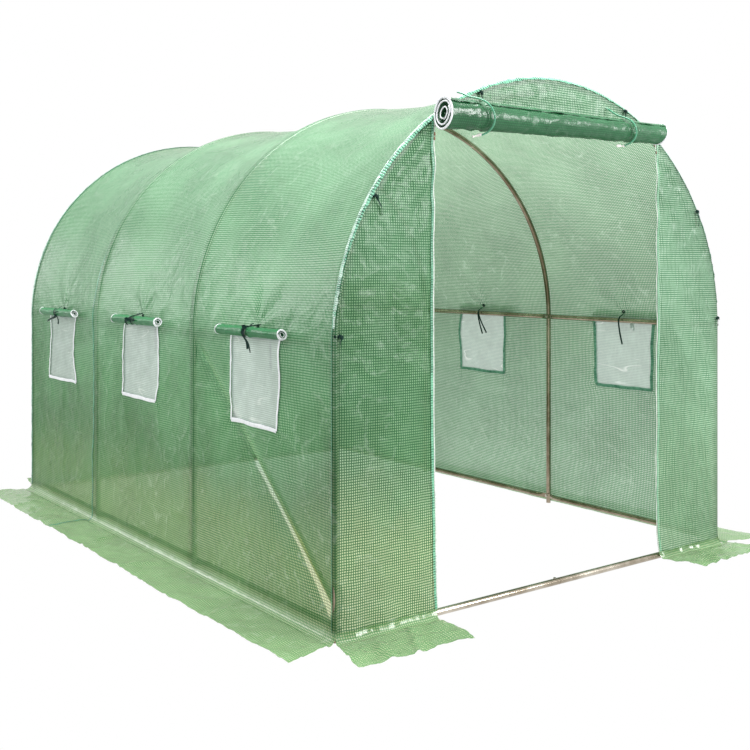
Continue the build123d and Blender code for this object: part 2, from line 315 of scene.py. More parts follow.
def film_material(name, cell, thread, translucent=0.5, clear=0.30, clear_thread=0.03, pitch=0.0088, rough=0.24,
                  bump=1.0, spec=0.5, line=0.42, left=None, right=None, see=(0.72, 0.92, 0.74), see_low_painted_ground=(0.93, 0.95, 0.62),
                  crease_highlight_amount=0.22, pressed=False):
    """Woven film: a reinforcing grid of opaque threads with clear film between them, crinkled and creased.
    left and right are tables of (height, tint) for the two sides of the tunnel: painted light and shade by height and
    side."""
    m, nt, out = new_mat(name)
    g = N(nt)
    uv = g.node("ShaderNodeUVMap", uv_map="cloth").outputs[0]
    obj = g.node("ShaderNodeTexCoord").outputs["Object"]
    sep = g.node("ShaderNodeSeparateXYZ")
    g.link(uv, sep.inputs[0])
    sepo = g.node("ShaderNodeSeparateXYZ")
    g.link(obj, sepo.inputs[0])
    lines = []
    for axis in (0, 1):
        fr = g.math("FRACT", g.math("MULTIPLY", sep.outputs[axis], 1.0 / pitch))
        d = g.math("ABSOLUTE", g.math("SUBTRACT", fr, 0.5))
        lines.append(g.maprange(d, 0.5 - line * 0.66, 0.5 - line * 0.34))
    weave = g.math("MAXIMUM", lines[0], lines[1])
    cl = g.noise(obj, 3.1, 3.0, 0.55)
    # crinkles: folded noise, patchy
    rid = g.node("ShaderNodeTexNoise", noise_type="RIDGED_MULTIFRACTAL")
    rid.normalize = False
    for k, v in (("Scale", 9.0), ("Detail", 4.0), ("Roughness", 0.56), ("Lacunarity", 2.15), ("Offset", 0.92), ("Gain", 1.9), ("Distortion", 0.35)):
        rid.inputs[k].default_value = v
    g.link(obj, rid.inputs["Vector"])
    patch = g.maprange(g.noise(obj, 2.3, 2.0, 0.6), 0.38, 0.62, 0.25, 1.0)
    # pale lines along the ridged folds: partly film whitened at its creases, partly a painted crease highlight
    crease_highlight = g.math("MULTIPLY", g.maprange(rid.outputs[0], 1.25, 2.1), g.math("MULTIPLY", patch, crease_highlight_amount))
    tint = g.mixc(g.maprange(cl, 0.32, 0.68), tuple(c * 0.80 for c in cell), cell)
    thr_c = g.mixc(g.maprange(cl, 0.3, 0.7), tuple(c * 0.8 for c in thread), thread)
    see_col = see
    if left:
        # painted light and shade: the tint follows height, mixed from the left table to the right one across x, so the
        # two sides look differently lit
        h = g.math("MULTIPLY_ADD", g.math("SUBTRACT", cl, 0.5), 0.45, sepo.outputs[2])
        hz = g.math("MULTIPLY", h, 1.0 / 1.3, clamp=True)
        ra = g.ramp(hz, [(z / 1.3, c) for z, c in left])
        rb = g.ramp(hz, [(z / 1.3, c) for z, c in right])
        grad = g.mixc(g.maprange(sepo.outputs[0], -0.60, -0.10), ra, rb)
        tint = g.mixc(1.0, tint, grad, "MULTIPLY")
        thr_c = g.mixc(0.8, thr_c, grad, "MULTIPLY")
        # painted ground: near the foot, mostly on the left, the light through the film is tinted cream as if a beige
        # ground lay behind it
        painted_ground_mask = g.math("MULTIPLY", g.maprange(h, 0.16, 0.66, 1.0, 0.0), g.maprange(sepo.outputs[0], -0.60, -0.10, 1.0, 0.25))
        see_col = g.mixc(painted_ground_mask, see, see_low_painted_ground)
    col = g.mixc(weave, tint, thr_c)
    col = g.mixc(crease_highlight, col, (0.86, 0.96, 0.86))
    hgt = g.math("MULTIPLY", g.math("MULTIPLY", rid.outputs[0], patch), 0.00075 * bump)
    hgt = g.math("MULTIPLY_ADD", g.noise(obj, 48.0, 2.0, 0.6, 0.5), 0.0006 * bump, hgt)
    hgt = g.math("MULTIPLY_ADD", weave, 0.00010, hgt)
    bn = g.node("ShaderNodeBump")
    bn.inputs["Strength"].default_value = 1.0
    bn.inputs["Distance"].default_value = 1.0
    g.link(hgt, bn.inputs["Height"])
    pr = g.node("ShaderNodeBsdfPrincipled")
    pr.inputs["Specular IOR Level"].default_value = spec
    g.link(g.maprange(cl, 0.3, 0.7, rough - 0.05, rough + 0.08, "LINEAR"), pr.inputs["Roughness"])
    g.link(col, pr.inputs["Base Color"])
    g.link(bn.outputs[0], pr.inputs["Normal"])
    tr = g.node("ShaderNodeBsdfTranslucent")
    g.link(col, tr.inputs["Color"])
    g.link(bn.outputs[0], tr.inputs["Normal"])
    mix = g.node("ShaderNodeMixShader")
    mix.inputs[0].default_value = translucent
    g.link(pr.outputs[0], mix.inputs[1])
    g.link(tr.outputs[0], mix.inputs[2])
    if clear <= 0.0:
        g.link(mix.outputs[0], out.inputs["Surface"])
        return m
    tp = g.node("ShaderNodeBsdfTransparent")
    if left:
        g.link(see_col, tp.inputs["Color"])
    else:
        tp.inputs["Color"].default_value = (*see, 1.0)
    seen = g.math("SUBTRACT", clear, g.math("MULTIPLY", weave, clear - clear_thread))
    if pressed:
        # the film is clearer where it lies pressed on the brace, evenly to both sides of the brace's own line
        by, bz = BRACE_LINE[1][0] - BRACE_LINE[0][0], BRACE_LINE[1][1] - BRACE_LINE[0][1]
        ll = math.hypot(by, bz)
        dy = g.math("SUBTRACT", sepo.outputs[1], BRACE_LINE[0][0])
        dz = g.math("SUBTRACT", sepo.outputs[2], BRACE_LINE[0][1])
        across = g.math("ABSOLUTE", g.math("SUBTRACT", g.math("MULTIPLY", dy, bz / ll), g.math("MULTIPLY", dz, by / ll)))
        along = g.math("ADD", g.math("MULTIPLY", dy, by / ll), g.math("MULTIPLY", dz, bz / ll))
        m1 = g.math("MULTIPLY", g.maprange(across, 0.014, 0.022, 1.0, 0.0), g.maprange(along, 0.0, 0.03))
        m1 = g.math("MULTIPLY", m1, g.maprange(along, ll - 0.09, ll - 0.05, 1.0, 0.0))
        m1 = g.math("MULTIPLY", m1, g.math("LESS_THAN", sepo.outputs[0], -0.95))
        seen = g.math("MULTIPLY_ADD", m1, g.maprange(weave, 0.0, 1.0, 0.56, 0.30), seen)
    mix2 = g.node("ShaderNodeMixShader")
    g.link(seen, mix2.inputs[0])
    g.link(mix.outputs[0], mix2.inputs[1])
    g.link(tp.outputs[0], mix2.inputs[2])
    g.link(mix2.outputs[0], out.inputs["Surface"])
    return m


def net_material(name, colour, pitch=0.0075, clear=0.30):
    """Fine net whose threads make a soft square pattern, creased here and there."""
    m, nt, out = new_mat(name)
    g = N(nt)
    uv = g.node("ShaderNodeUVMap", uv_map="cloth").outputs[0]
    obj = g.node("ShaderNodeTexCoord").outputs["Object"]
    sep = g.node("ShaderNodeSeparateXYZ")
    g.link(uv, sep.inputs[0])
    lines = []
    for axis in (0, 1):
        fr = g.math("FRACT", g.math("MULTIPLY", sep.outputs[axis], 1.0 / pitch))
        d = g.math("ABSOLUTE", g.math("SUBTRACT", fr, 0.5))
        lines.append(g.maprange(d, 0.22, 0.44))
    weave = g.math("MAXIMUM", lines[0], lines[1])
    cloud = g.maprange(g.noise(obj, 13.0, 3.0, 0.65), 0.3, 0.7)
    shade = g.mixc(cloud, tuple(c * 0.80 for c in colour), colour)
    col = g.mixc(weave, tuple(c * 0.62 for c in colour), shade)
    mp = g.node("ShaderNodeMapping")
    mp.inputs["Rotation"].default_value = (0.0, 0.0, 0.7)
    mp.inputs["Scale"].default_value = (3.0, 14.0, 1.0)
    g.link(uv, mp.inputs["Vector"])
    nz = g.node("ShaderNodeTexNoise", noise_dimensions="2D")
    nz.inputs["Scale"].default_value = 1.0
    nz.inputs["Detail"].default_value = 1.0
    g.link(mp.outputs[0], nz.inputs["Vector"])
    ln = g.maprange(g.math("ABSOLUTE", g.math("SUBTRACT", nz.outputs[0], 0.5)), 0.0, 0.022, 1.0, 0.0)
    mk = g.math("MULTIPLY", ln, g.maprange(g.noise(obj, 6.0, 1.0, 0.5), 0.52, 0.62))
    col = g.mixc(g.math("MULTIPLY", mk, 0.6), col, (0.92, 0.94, 0.92))
    bn = g.node("ShaderNodeBump")
    bn.inputs["Strength"].default_value = 1.0
    bn.inputs["Distance"].default_value = 0.0009
    g.link(g.math("ADD", mk, g.noise(obj, 22.0, 2.0, 0.6)), bn.inputs["Height"])
    pr = g.node("ShaderNodeBsdfPrincipled")
    pr.inputs["Roughness"].default_value = 0.5
    g.link(col, pr.inputs["Base Color"])
    g.link(bn.outputs[0], pr.inputs["Normal"])
    tr = g.node("ShaderNodeBsdfTranslucent")
    g.link(col, tr.inputs["Color"])
    mix = g.node("ShaderNodeMixShader")
    mix.inputs[0].default_value = 0.35
    g.link(pr.outputs[0], mix.inputs[1])
    g.link(tr.outputs[0], mix.inputs[2])
    tp = g.node("ShaderNodeBsdfTransparent")
    tp.inputs["Color"].default_value = (0.97, 0.99, 0.97, 1.0)
    mix2 = g.node("ShaderNodeMixShader")
    g.link(g.math("SUBTRACT", clear, g.math("MULTIPLY", weave, clear * 0.5)), mix2.inputs[0])
    g.link(mix.outputs[0], mix2.inputs[1])
    g.link(tp.outputs[0], mix2.inputs[2])
    g.link(mix2.outputs[0], out.inputs["Surface"])
    return m


def tape_material(name, dark, light, pitch=0.006, rough=0.55, translucent=0.15, amount=0.5, spec=0.5, bump=0.0008):
    """Woven tape: fine weave, worn and uneven, with small stitches."""
    m, nt, out = new_mat(name)
    g = N(nt)
    uv = g.node("ShaderNodeUVMap", uv_map="cloth").outputs[0]
    obj = g.node("ShaderNodeTexCoord").outputs["Object"]
    sep = g.node("ShaderNodeSeparateXYZ")
    g.link(uv, sep.inputs[0])
    st = g.math("FRACT", g.math("MULTIPLY", sep.outputs[0], 1.0 / pitch))
    st = g.maprange(g.math("ABSOLUTE", g.math("SUBTRACT", st, 0.5)), 0.18, 0.34)
    n1 = g.noise(obj, 70.0, 3.0, 0.65)
    n2 = g.noise(obj, 18.0, 2.0, 0.6)
    fac = g.math("MULTIPLY_ADD", st, amount * 0.6, g.math("MULTIPLY_ADD", n1, 0.9, g.math("MULTIPLY", n2, 0.7)))
    col = g.mixc(g.maprange(fac, 0.55, 1.15), dark, light)
    bn = g.node("ShaderNodeBump")
    bn.inputs["Strength"].default_value = 0.8
    bn.inputs["Distance"].default_value = bump
    g.link(fac, bn.inputs["Height"])
    pr = g.node("ShaderNodeBsdfPrincipled")
    pr.inputs["Roughness"].default_value = rough
    pr.inputs["Specular IOR Level"].default_value = spec
    g.link(col, pr.inputs["Base Color"])
    g.link(bn.outputs[0], pr.inputs["Normal"])
    tr = g.node("ShaderNodeBsdfTranslucent")
    g.link(col, tr.inputs["Color"])
    mix = g.node("ShaderNodeMixShader")
    mix.inputs[0].default_value = translucent
    g.link(pr.outputs[0], mix.inputs[1])
    g.link(tr.outputs[0], mix.inputs[2])
    g.link(mix.outputs[0], out.inputs["Surface"])
    return m


def steel_material(name, a, b, rough=0.36, metallic=0.85, glow=0.0):
    """Galvanised tube: long soft mottling, faint streaks, dull patches."""
    m, nt, out = new_mat(name)
    g = N(nt)
    obj = g.node("ShaderNodeTexCoord").outputs["Object"]
    cloud = g.noise(obj, 5.0, 4.0, 0.6)
    fine = g.noise(obj, 70.0, 2.0, 0.5)
    fac = g.math("MULTIPLY_ADD", fine, 0.22, cloud)
    col = g.mixc(g.maprange(fac, 0.42, 0.82), a, b)
    bn = g.node("ShaderNodeBump")
    bn.inputs["Strength"].default_value = 0.3
    bn.inputs["Distance"].default_value = 0.0003
    g.link(fine, bn.inputs["Height"])
    pr = g.node("ShaderNodeBsdfPrincipled")
    pr.inputs["Metallic"].default_value = metallic
    if glow:
        pr.inputs["Emission Color"].default_value = (0.95, 0.95, 0.80, 1.0)
        pr.inputs["Emission Strength"].default_value = glow
    g.link(col, pr.inputs["Base Color"])
    g.link(g.maprange(cloud, 0.3, 0.7, rough - 0.05, rough + 0.08, "LINEAR"), pr.inputs["Roughness"])
    g.link(bn.outputs[0], pr.inputs["Normal"])
    g.link(pr.outputs[0], out.inputs["Surface"])
    return m


BRACE_LINE = ((HOOP_Y[0], 0.080), (HOOP_Y[1], 0.918))
# Height tables of tint for the film: painted light and shade. The film is one colour; these make it darker at
# mid-wall, lighter higher up and creamy at the foot, and different on the tunnel's left and right sides and on the
# end's left and right halves.
LEFT_PAINTED_LIGHT_TINT = [(0.0, (0.66, 0.77, 0.46)), (0.22, (0.55, 0.68, 0.36)), (0.45, (0.35, 0.52, 0.30)), (0.72, (0.55, 0.79, 0.53)), (0.96, (0.75, 0.95, 0.78)), (1.20, (0.92, 1.04, 0.94))]
RIGHT_PAINTED_LIGHT_TINT = [(0.0, (1.18, 1.09, 1.18)), (0.45, (1.14, 1.02, 1.12)), (0.9, (0.94, 0.86, 0.88)), (1.20, (0.94, 0.84, 0.86))]
GABLE_LEFT_PAINTED_LIGHT = [(0.0, (0.98, 0.92, 0.72)), (0.28, (0.86, 0.86, 0.58)), (0.50, (0.45, 0.60, 0.38)), (0.80, (0.42, 0.58, 0.40)), (1.10, (0.48, 0.62, 0.43)), (1.28, (0.56, 0.68, 0.56))]
GABLE_RIGHT_PAINTED_LIGHT = [(0.0, (0.96, 0.94, 0.84)), (0.40, (0.98, 0.96, 0.88)), (0.8, (1.0, 1.0, 0.97)), (1.20, (1.0, 1.0, 1.0))]
# film_cover, film_front and film_skirt_painted_shade are one film; their different base colours are painted light and
# shade
MAT_WALL = film_material("film_cover", cell=(0.62, 0.74, 0.61), thread=(0.070, 0.240, 0.110), translucent=0.42, clear=0.21,
                         left=LEFT_PAINTED_LIGHT_TINT, right=RIGHT_PAINTED_LIGHT_TINT, pressed=True, bump=2.3, crease_highlight_amount=0.32, spec=0.35, rough=0.28)
MAT_GABLE = film_material("film_front", cell=(0.70, 0.92, 0.72), thread=(0.055, 0.210, 0.095), translucent=0.42, clear=0.30, bump=2.0, rough=0.32, spec=0.40,
                          left=GABLE_LEFT_PAINTED_LIGHT, right=GABLE_RIGHT_PAINTED_LIGHT, crease_highlight_amount=0.24)
# the skirt is the wall's own film, made darker and yellower where it lies on the ground, which is painted shade; its
# cream see-through colour is a painted ground seen through it
MAT_SKIRT_PAINTED_SHADE = film_material("film_skirt_painted_shade", cell=(0.42, 0.56, 0.29), thread=(0.09, 0.26, 0.09), translucent=0.25, clear=0.22,
                          bump=1.2, see=(0.92, 0.96, 0.74), rough=0.20, spec=0.6, crease_highlight_amount=0.22)
MAT_ROLL = film_material("film_rolled", cell=(0.030, 0.160, 0.060), thread=(0.014, 0.095, 0.035), translucent=0.06, clear=0.0, clear_thread=0.0,
                         bump=2.2, rough=0.28, spec=0.42, crease_highlight_amount=0.20)
MAT_FLAP = film_material("film_flap", cell=(0.022, 0.225, 0.070), thread=(0.010, 0.145, 0.042), translucent=0.08, clear=0.0, clear_thread=0.0,
                         bump=1.3, rough=0.32, spec=0.28, crease_highlight_amount=0.14)
MAT_SEAM_MIX = tape_material("seam_mix", (0.004, 0.055, 0.030), (0.22, 0.58, 0.38), pitch=0.011, rough=0.26, spec=0.7, amount=1.0, bump=0.0016)
MAT_SEAM = tape_material("seam_teal", (0.004, 0.060, 0.032), (0.07, 0.36, 0.20), pitch=0.009, rough=0.28, spec=0.7)
MAT_HEM = tape_material("hem_teal", (0.006, 0.11, 0.055), (0.20, 0.54, 0.34), pitch=0.0088, rough=0.30, amount=1.0, spec=0.6)
MAT_HEM_PALE = tape_material("hem_pale", (0.01, 0.10, 0.05), (0.16, 0.42, 0.27), pitch=0.0088, rough=0.30, amount=1.0, translucent=0.25, spec=0.6)
MAT_HEM_SOFT = tape_material("hem_soft", (0.10, 0.32, 0.18), (0.30, 0.54, 0.36), pitch=0.0088, rough=0.35, amount=0.8, translucent=0.3)
MAT_SLIDER = tape_material("slider_brown", (0.10, 0.045, 0.02), (0.30, 0.16, 0.09), pitch=0.004, rough=0.35, translucent=0.0)
# pale tape colour: a painted highlight on the film wrapped over the end hoops
MAT_SEAM_PAINTED_HIGHLIGHT = tape_material("seam_pale_painted_highlight", (0.02, 0.16, 0.08), (0.70, 0.90, 0.78), pitch=0.007, rough=0.25, translucent=0.2, spec=0.8)
MAT_WINHEM = tape_material("window_hem", (0.015, 0.13, 0.075), (0.20, 0.46, 0.32), pitch=0.007, rough=0.4, translucent=0.35)
MAT_WHITE = tape_material("tape_white", (0.80, 0.82, 0.86), (0.97, 0.98, 1.0), pitch=0.005, rough=0.6, amount=0.3)
MAT_ZIP = tape_material("zip_pale", (0.30, 0.40, 0.33), (0.84, 0.86, 0.82), pitch=0.005, rough=0.4, amount=0.6)
MAT_NET = net_material("net_grey", (0.70, 0.78, 0.755))
# the right windows' net is the same net made darker: painted shade
MAT_NET_SHADED_RIGHT = net_material("net_grey_right_painted_shade", (0.50, 0.63, 0.56))
MAT_RIBBON = tape_material("ribbon_dark", (0.001, 0.008, 0.006), (0.004, 0.030, 0.022), pitch=0.003, rough=0.6, translucent=0.0, spec=0.12)
MAT_CORD = tape_material("cord_green", (0.006, 0.08, 0.038), (0.09, 0.36, 0.21), pitch=0.004, rough=0.25, translucent=0.0, spec=0.8)
# the tubes and bars are galvanised steel; their tan-brown is a painted reflection of a brown ground, and the bars'
# lighter tone is painted light
MAT_TUBE_PAINTED_REFLECTION = steel_material("galvanised_tube", (0.18, 0.14, 0.09), (0.42, 0.36, 0.27), rough=0.22, metallic=1.0)
MAT_BAR_PAINTED_REFLECTION = steel_material("galvanised_bar_painted_reflection", (0.34, 0.29, 0.22), (0.62, 0.57, 0.48), rough=0.16, metallic=1.0)
# the brace is the same galvanised steel given a pale cream colour: a painted highlight
MAT_BRACE_PAINTED_HIGHLIGHT = steel_material("galvanised_brace_painted_highlight", (0.72, 0.71, 0.62), (0.94, 0.93, 0.82), rough=0.45, metallic=0.2)
MAT_BOLT = steel_material("zinc_bolt", (0.35, 0.33, 0.28), (0.65, 0.62, 0.55), rough=0.25)
MAT_HOOK = tape_material("hook_white", (0.66, 0.62, 0.58), (0.93, 0.90, 0.87), pitch=0.006, rough=0.35)

for n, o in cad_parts.items():
    mat = None
    if n == "corner_brace":
        mat = MAT_BRACE_PAINTED_HIGHLIGHT
    elif n.startswith(("hoop_", "side_rail", "base_rail", "ridge_rail")):
        mat = MAT_TUBE_PAINTED_REFLECTION
    elif n in ("threshold_bar", "rear_base_bar"):
        mat = MAT_BAR_PAINTED_REFLECTION
    elif n == "frame_bolts":
        mat = MAT_BOLT
    if mat:
        o.data.materials.clear()
        o.data.materials.append(mat)

# ------------------------------------------------------------------ the tunnel sheet
# One width of film runs from the left skirt's edge, round a bend up the wall, over the hoops and down to
# the right skirt's edge.  s is the distance along that section.
A0, B0 = HALF_W + SKIN, RISE + SKIN
SKW = SKIRT_X - A0                    # skirt width
RF = 0.034                            # the bend at the wall's foot
_th = np.linspace(math.pi, 0, 2001)
_ax, _az = A0 * np.cos(_th), B0 * np.sin(_th)
_al = np.concatenate([[0], np.cumsum(np.hypot(np.diff(_ax), np.diff(_az)))])
ARC = float(_al[-1])
S_BEND_L = SKW - RF
S_FOOT_L = S_BEND_L + RF * math.pi / 2
S_SPRING_L = S_FOOT_L + LEG_H - RF
S_SPRING_R = S_SPRING_L + ARC
S_FOOT_R = S_SPRING_R + LEG_H - RF
S_BEND_R = S_FOOT_R + RF * math.pi / 2
S_END = S_BEND_R + SKW - RF


def section(s):
    """Point (x, z) and outward normal of the taut section at distance s."""
    s = np.asarray(s, float)
    x, z = np.zeros_like(s), np.zeros_like(s)
    nx, nz = np.zeros_like(s), np.zeros_like(s)
    for sg, flat, bend in ((-1.0, S_BEND_L - s, S_FOOT_L - s), (1.0, s - S_BEND_R, s - S_FOOT_R)):
        m = flat > 0
        x[m], z[m], nx[m], nz[m] = sg * (A0 + RF + flat[m]), 0.0, 0.0, 1.0
        m = (flat <= 0) & (bend > 0)
        be = bend[m] / RF
        x[m], z[m] = sg * (A0 + RF - RF * np.cos(be)), RF - RF * np.sin(be)
        nx[m], nz[m] = sg * np.cos(be), np.sin(be)
    m = (s >= S_FOOT_L) & (s < S_SPRING_L)
    x[m], z[m], nx[m], nz[m] = -A0, RF + s[m] - S_FOOT_L, -1.0, 0.0
    m = (s >= S_SPRING_L) & (s <= S_SPRING_R)
    th = np.interp(s[m] - S_SPRING_L, _al, _th)
    x[m], z[m] = A0 * np.cos(th), LEG_H + B0 * np.sin(th)
    l = np.hypot(np.cos(th) / A0, np.sin(th) / B0)
    nx[m], nz[m] = np.cos(th) / A0 / l, np.sin(th) / B0 / l
    m = (s > S_SPRING_R) & (s <= S_FOOT_R)
    x[m], z[m], nx[m], nz[m] = A0, RF + S_FOOT_R - s[m], 1.0, 0.0
    return x, z, nx, nz


def s_on_wall(side, z):
    """Distance along the section of height z on the left or right wall, a little way up the arch too."""
    z = np.asarray(z, float)
    return (S_FOOT_L + (z - RF)) if side == "left" else (S_FOOT_R - (z - RF))


def lines_between(a, b, step, keep=()):
    """Grid lines from a to b with all of keep among them."""
    marks = sorted({round(x, 6) for x in [a, b, *keep] if a - 1e-9 <= x <= b + 1e-9})
    out = []
    for p, q in zip(marks[:-1], marks[1:]):
        n = max(1, int(math.ceil((q - p) / step)))
        out.extend(np.linspace(p, q, n, endpoint=False).tolist())
    out.append(marks[-1])
    return np.array(out)


def refine(lines, centres, half, step):
    """Closer grid lines near the given centres."""
    out = set(np.round(lines, 6).tolist())
    for c in centres:
        for t in np.arange(c - half, c + half + 1e-9, step):
            out.add(round(float(t), 6))
    vals = np.array(sorted(out))
    vals = vals[(vals >= lines[0] - 1e-9) & (vals <= lines[-1] + 1e-9)]
    fixed = set(np.round(lines, 6).tolist())
    res = [vals[0]]
    for v in vals[1:]:
        if v - res[-1] < step * 0.45:
            if round(float(v), 6) in fixed and round(float(res[-1]), 6) not in fixed:
                res[-1] = v
            elif round(float(v), 6) in fixed:
                res.append(v)
            continue
        res.append(v)
    return np.array(res)


SAG_TOP, SAG_SHOULDER, SAG_WALL = 0.021, 0.036, 0.010
FOLDS = (((-0.347, 0.732), (-0.739, 0.731), 0.0050), ((0.551, 0.234), (0.094, 0.228), 0.0045), ((0.094, 0.228), (0.110, 0.470), 0.0035),
         ((-0.010, 0.181), (-0.645, 0.240), 0.0050), ((-0.645, 0.240), (-0.640, 0.520), 0.0035), ((0.430, 1.195), (-0.521, 1.198), 0.0040),
         ((-0.150, 0.717), (-0.301, 0.730), 0.0045), ((0.62, 0.40), (1.35, 0.42), 0.0040), ((-0.75, 0.33), (-1.30, 0.50), 0.0045),
         ((0.98, 0.12), (1.00, 0.60), 0.0030), ((-1.02, 0.08), (-1.04, 0.58), 0.0035))
BRACE_A = (HOOP_Y[0], 0.080)
BRACE_B = (HOOP_Y[1], 0.918)


def hash_name(text):
    return sum((i + 3) * ord(c) for i, c in enumerate(text)) % 97


def tunnel_offset(S, Y, x, z):
    """How far the film stands off the taut section along its normal, from sag, hoops and wrinkles."""
    bay = np.clip(np.searchsorted(HOOP_Y, Y, side="right") - 1, 0, 2)
    y0 = np.array(HOOP_Y)[bay]
    y1 = np.array(HOOP_Y)[bay + 1]
    t = np.clip((Y - y0) / (y1 - y0), 0, 1)
    para = 4 * t * (1 - t)
    d = np.minimum(np.abs(Y - y0), np.abs(y1 - Y))
    apex = np.exp(-((x / 0.10) ** 2))
    on_arch = smooth(z, LEG_H - 0.05, LEG_H + 0.35)
    at_rail = np.exp(-(((z - RAIL_Z) / 0.07) ** 2))
    at_foot = smooth(z, 0.02, 0.30)
    sag = SAG_WALL * at_foot * (1 - 0.35 * at_rail) * (1 - on_arch) + SAG_SHOULDER * on_arch
    sag = sag * (1 - apex) + np.minimum(sag, SAG_TOP) * apex
    end = (Y < HOOP_Y[0]) | (Y > HOOP_Y[3])
    off = -sag * para
    # the film bends round each tube, and over the rail
    off = off - 0.0042 * smooth(d, 0.003, 0.030) * at_foot
    off = np.where(end, 0.0, off)
    ease = smooth(d, 0.004, 0.05) * np.where(end, 0.0, 1.0)
    low = smooth(z, 0.02, 0.12)
    wall = 1 - on_arch
    # creases left by the packet, on the left wall: ((y, z), (y, z), depth)
    kept = np.zeros_like(z)
    for (ya, za), (yb, zb), dep in FOLDS:
        ly, lz = yb - ya, zb - za
        ll = math.hypot(ly, lz)
        q = ((Y - ya) * ly + (z - za) * lz) / ll
        dd = ((Y - ya) * lz - (z - za) * ly) / ll
        kept = kept + dep * np.exp(-np.abs(dd) / 0.009) * smooth(q, 0.0, 0.05) * (1 - smooth(q, ll - 0.05, ll))
    big = fbm(S * 2.1, Y * 2.7, 3, 2) * 0.0055 * wall + fbm(S * 1.6, Y * 2.2, 5, 2) * 0.0042 * on_arch
    mid = crumple(S * 6.0, Y * 5.0, 11, 3) * (0.0036 * wall + 0.0017 * on_arch)
    fine = crumple(S * 12.5, Y * 11.0, 23, 2) * (0.0019 * wall + 0.0010 * on_arch)
    w = (big + mid + fine) * ease * (0.35 + 0.65 * low)
    w = w + 0.0024 * wall * ease * np.maximum(0, perlin(Y * 11.0 + 0.8 * fbm(S * 3, Y * 2, 8), S * 1.1, 41)) * low
    w = w + 0.0026 * wall * ease * perlin(S * 8.0 + 1.2 * perlin(Y * 1.4, S * 1.0, 44), Y * 0.9, 43) * low
    # a pulled fold that runs along the wall from window to window, level with their feet
    fold = 0.47 + 0.10 * np.clip((Y - HOOP_Y[0]) / 2.9, 0, 1) + 0.045 * perlin(Y * 1.9, Y * 0 + np.sign(x), 47)
    w = w + 0.0052 * wall * ease * np.exp(-np.abs(z - fold) / 0.012) * smooth(perlin(Y * 1.3, Y * 0 + 4 + np.sign(x), 48), -0.12, 0.10)
    w = w + np.where(x < 0, kept, 0.0) * ease
    return off + w


def radial_pucker(Y, Z, cy, cz, reach, count, amp, seed, lo=0.15, hi=math.pi - 0.15):
    """Folds that fan out from a point where the film is held."""
    dy, dz = Y - cy, Z - cz
    r = np.hypot(dy, dz)
    a = np.arctan2(dz, dy)
    fan = np.cos(a * count + 1.7 * perlin(a * 2.0, r * 6.0, seed))
    gate = smooth(a, lo - 0.25, lo + 0.2) * (1 - smooth(a, hi - 0.2, hi + 0.25))
    fade = np.exp(-r / reach) * smooth(r, 0.004, 0.02)
    return amp * np.sign(fan) * np.abs(fan) ** 1.6 * gate * fade


FLAP = {}
for side in ("left", "right"):
    for place in ("front", "mid", "rear"):
        lo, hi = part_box("window_flap_%s_%s" % (side, place))
        FLAP[side, place] = (lo, hi)

# How each window's near and far edge wander from top to foot (mm, + is towards the rear).
EDGES = {
    ("left", "front"): ((0.0, 10.0, 6.0, 14.0, 20.0, 28.0), (-2.0, 4.0, 8.0, 10.0, 16.0, 20.0)),
    ("left", "mid"): ((2.0, -2.0, 0.0, 2.0, 4.0, 34.0), (-10.0, 4.0, 14.0, 16.0, 14.0, 18.0)),
    ("left", "rear"): ((4.0, 22.0, 46.0, 44.0, 26.0, 2.0), (-4.0, 0.0, 6.0, 8.0, 14.0, 24.0)),
    ("right", "front"): ((-4.0, 0.0, 6.0, 2.0, 8.0, 4.0), (4.0, 0.0, -4.0, -8.0, -4.0, -14.0)),
    ("right", "mid"): ((4.0, 2.0, -2.0, 4.0, 2.0, 0.0), (-2.0, 12.0, 18.0, 6.0, 2.0, 4.0)),
    ("right", "rear"): ((2.0, 6.0, 10.0, 4.0, 0.0, 4.0), (0.0, -6.0, -2.0, 6.0, 8.0, 2.0)),
}


def window_warp(x, Y, z):
    dY = np.zeros_like(Y)
    dZ = np.zeros_like(Y)
    for (side, place), (wy0, wy1, wz0, wz1) in WIN.items():
        m = ((x < 0) == (side == "left")) & (Y > wy0 - 0.2) & (Y < wy1 + 0.2) & (z < wz1 + 0.2) & (z > wz0 - 0.2)
        if not m.any():
            continue
        near, far = EDGES[side, place]
        k = np.clip((wz1 - z[m]) / (wz1 - wz0), 0, 1) * (len(near) - 1)
        vert = np.exp(-(np.maximum(0, np.maximum(z[m] - wz1, wz0 - z[m])) / 0.04) ** 2)
        for edge, table in ((wy0, near), (wy1, far)):
            o = np.interp(k, np.arange(len(table)), table) / 1000.0
            dY[m] += o * np.exp(-((Y[m] - edge) / 0.07) ** 2) * vert
        seed = 700 + hash_name(side + place)
        hor = np.exp(-(np.maximum(0, np.maximum(Y[m] - wy1, wy0 - Y[m])) / 0.04) ** 2)
        dZ[m] += 0.0045 * fbm(Y[m] * 7.0, Y[m] * 0 + 2, seed, 2) * np.exp(-((z[m] - wz0) / 0.05) ** 2) * hor
    return dY, dZ


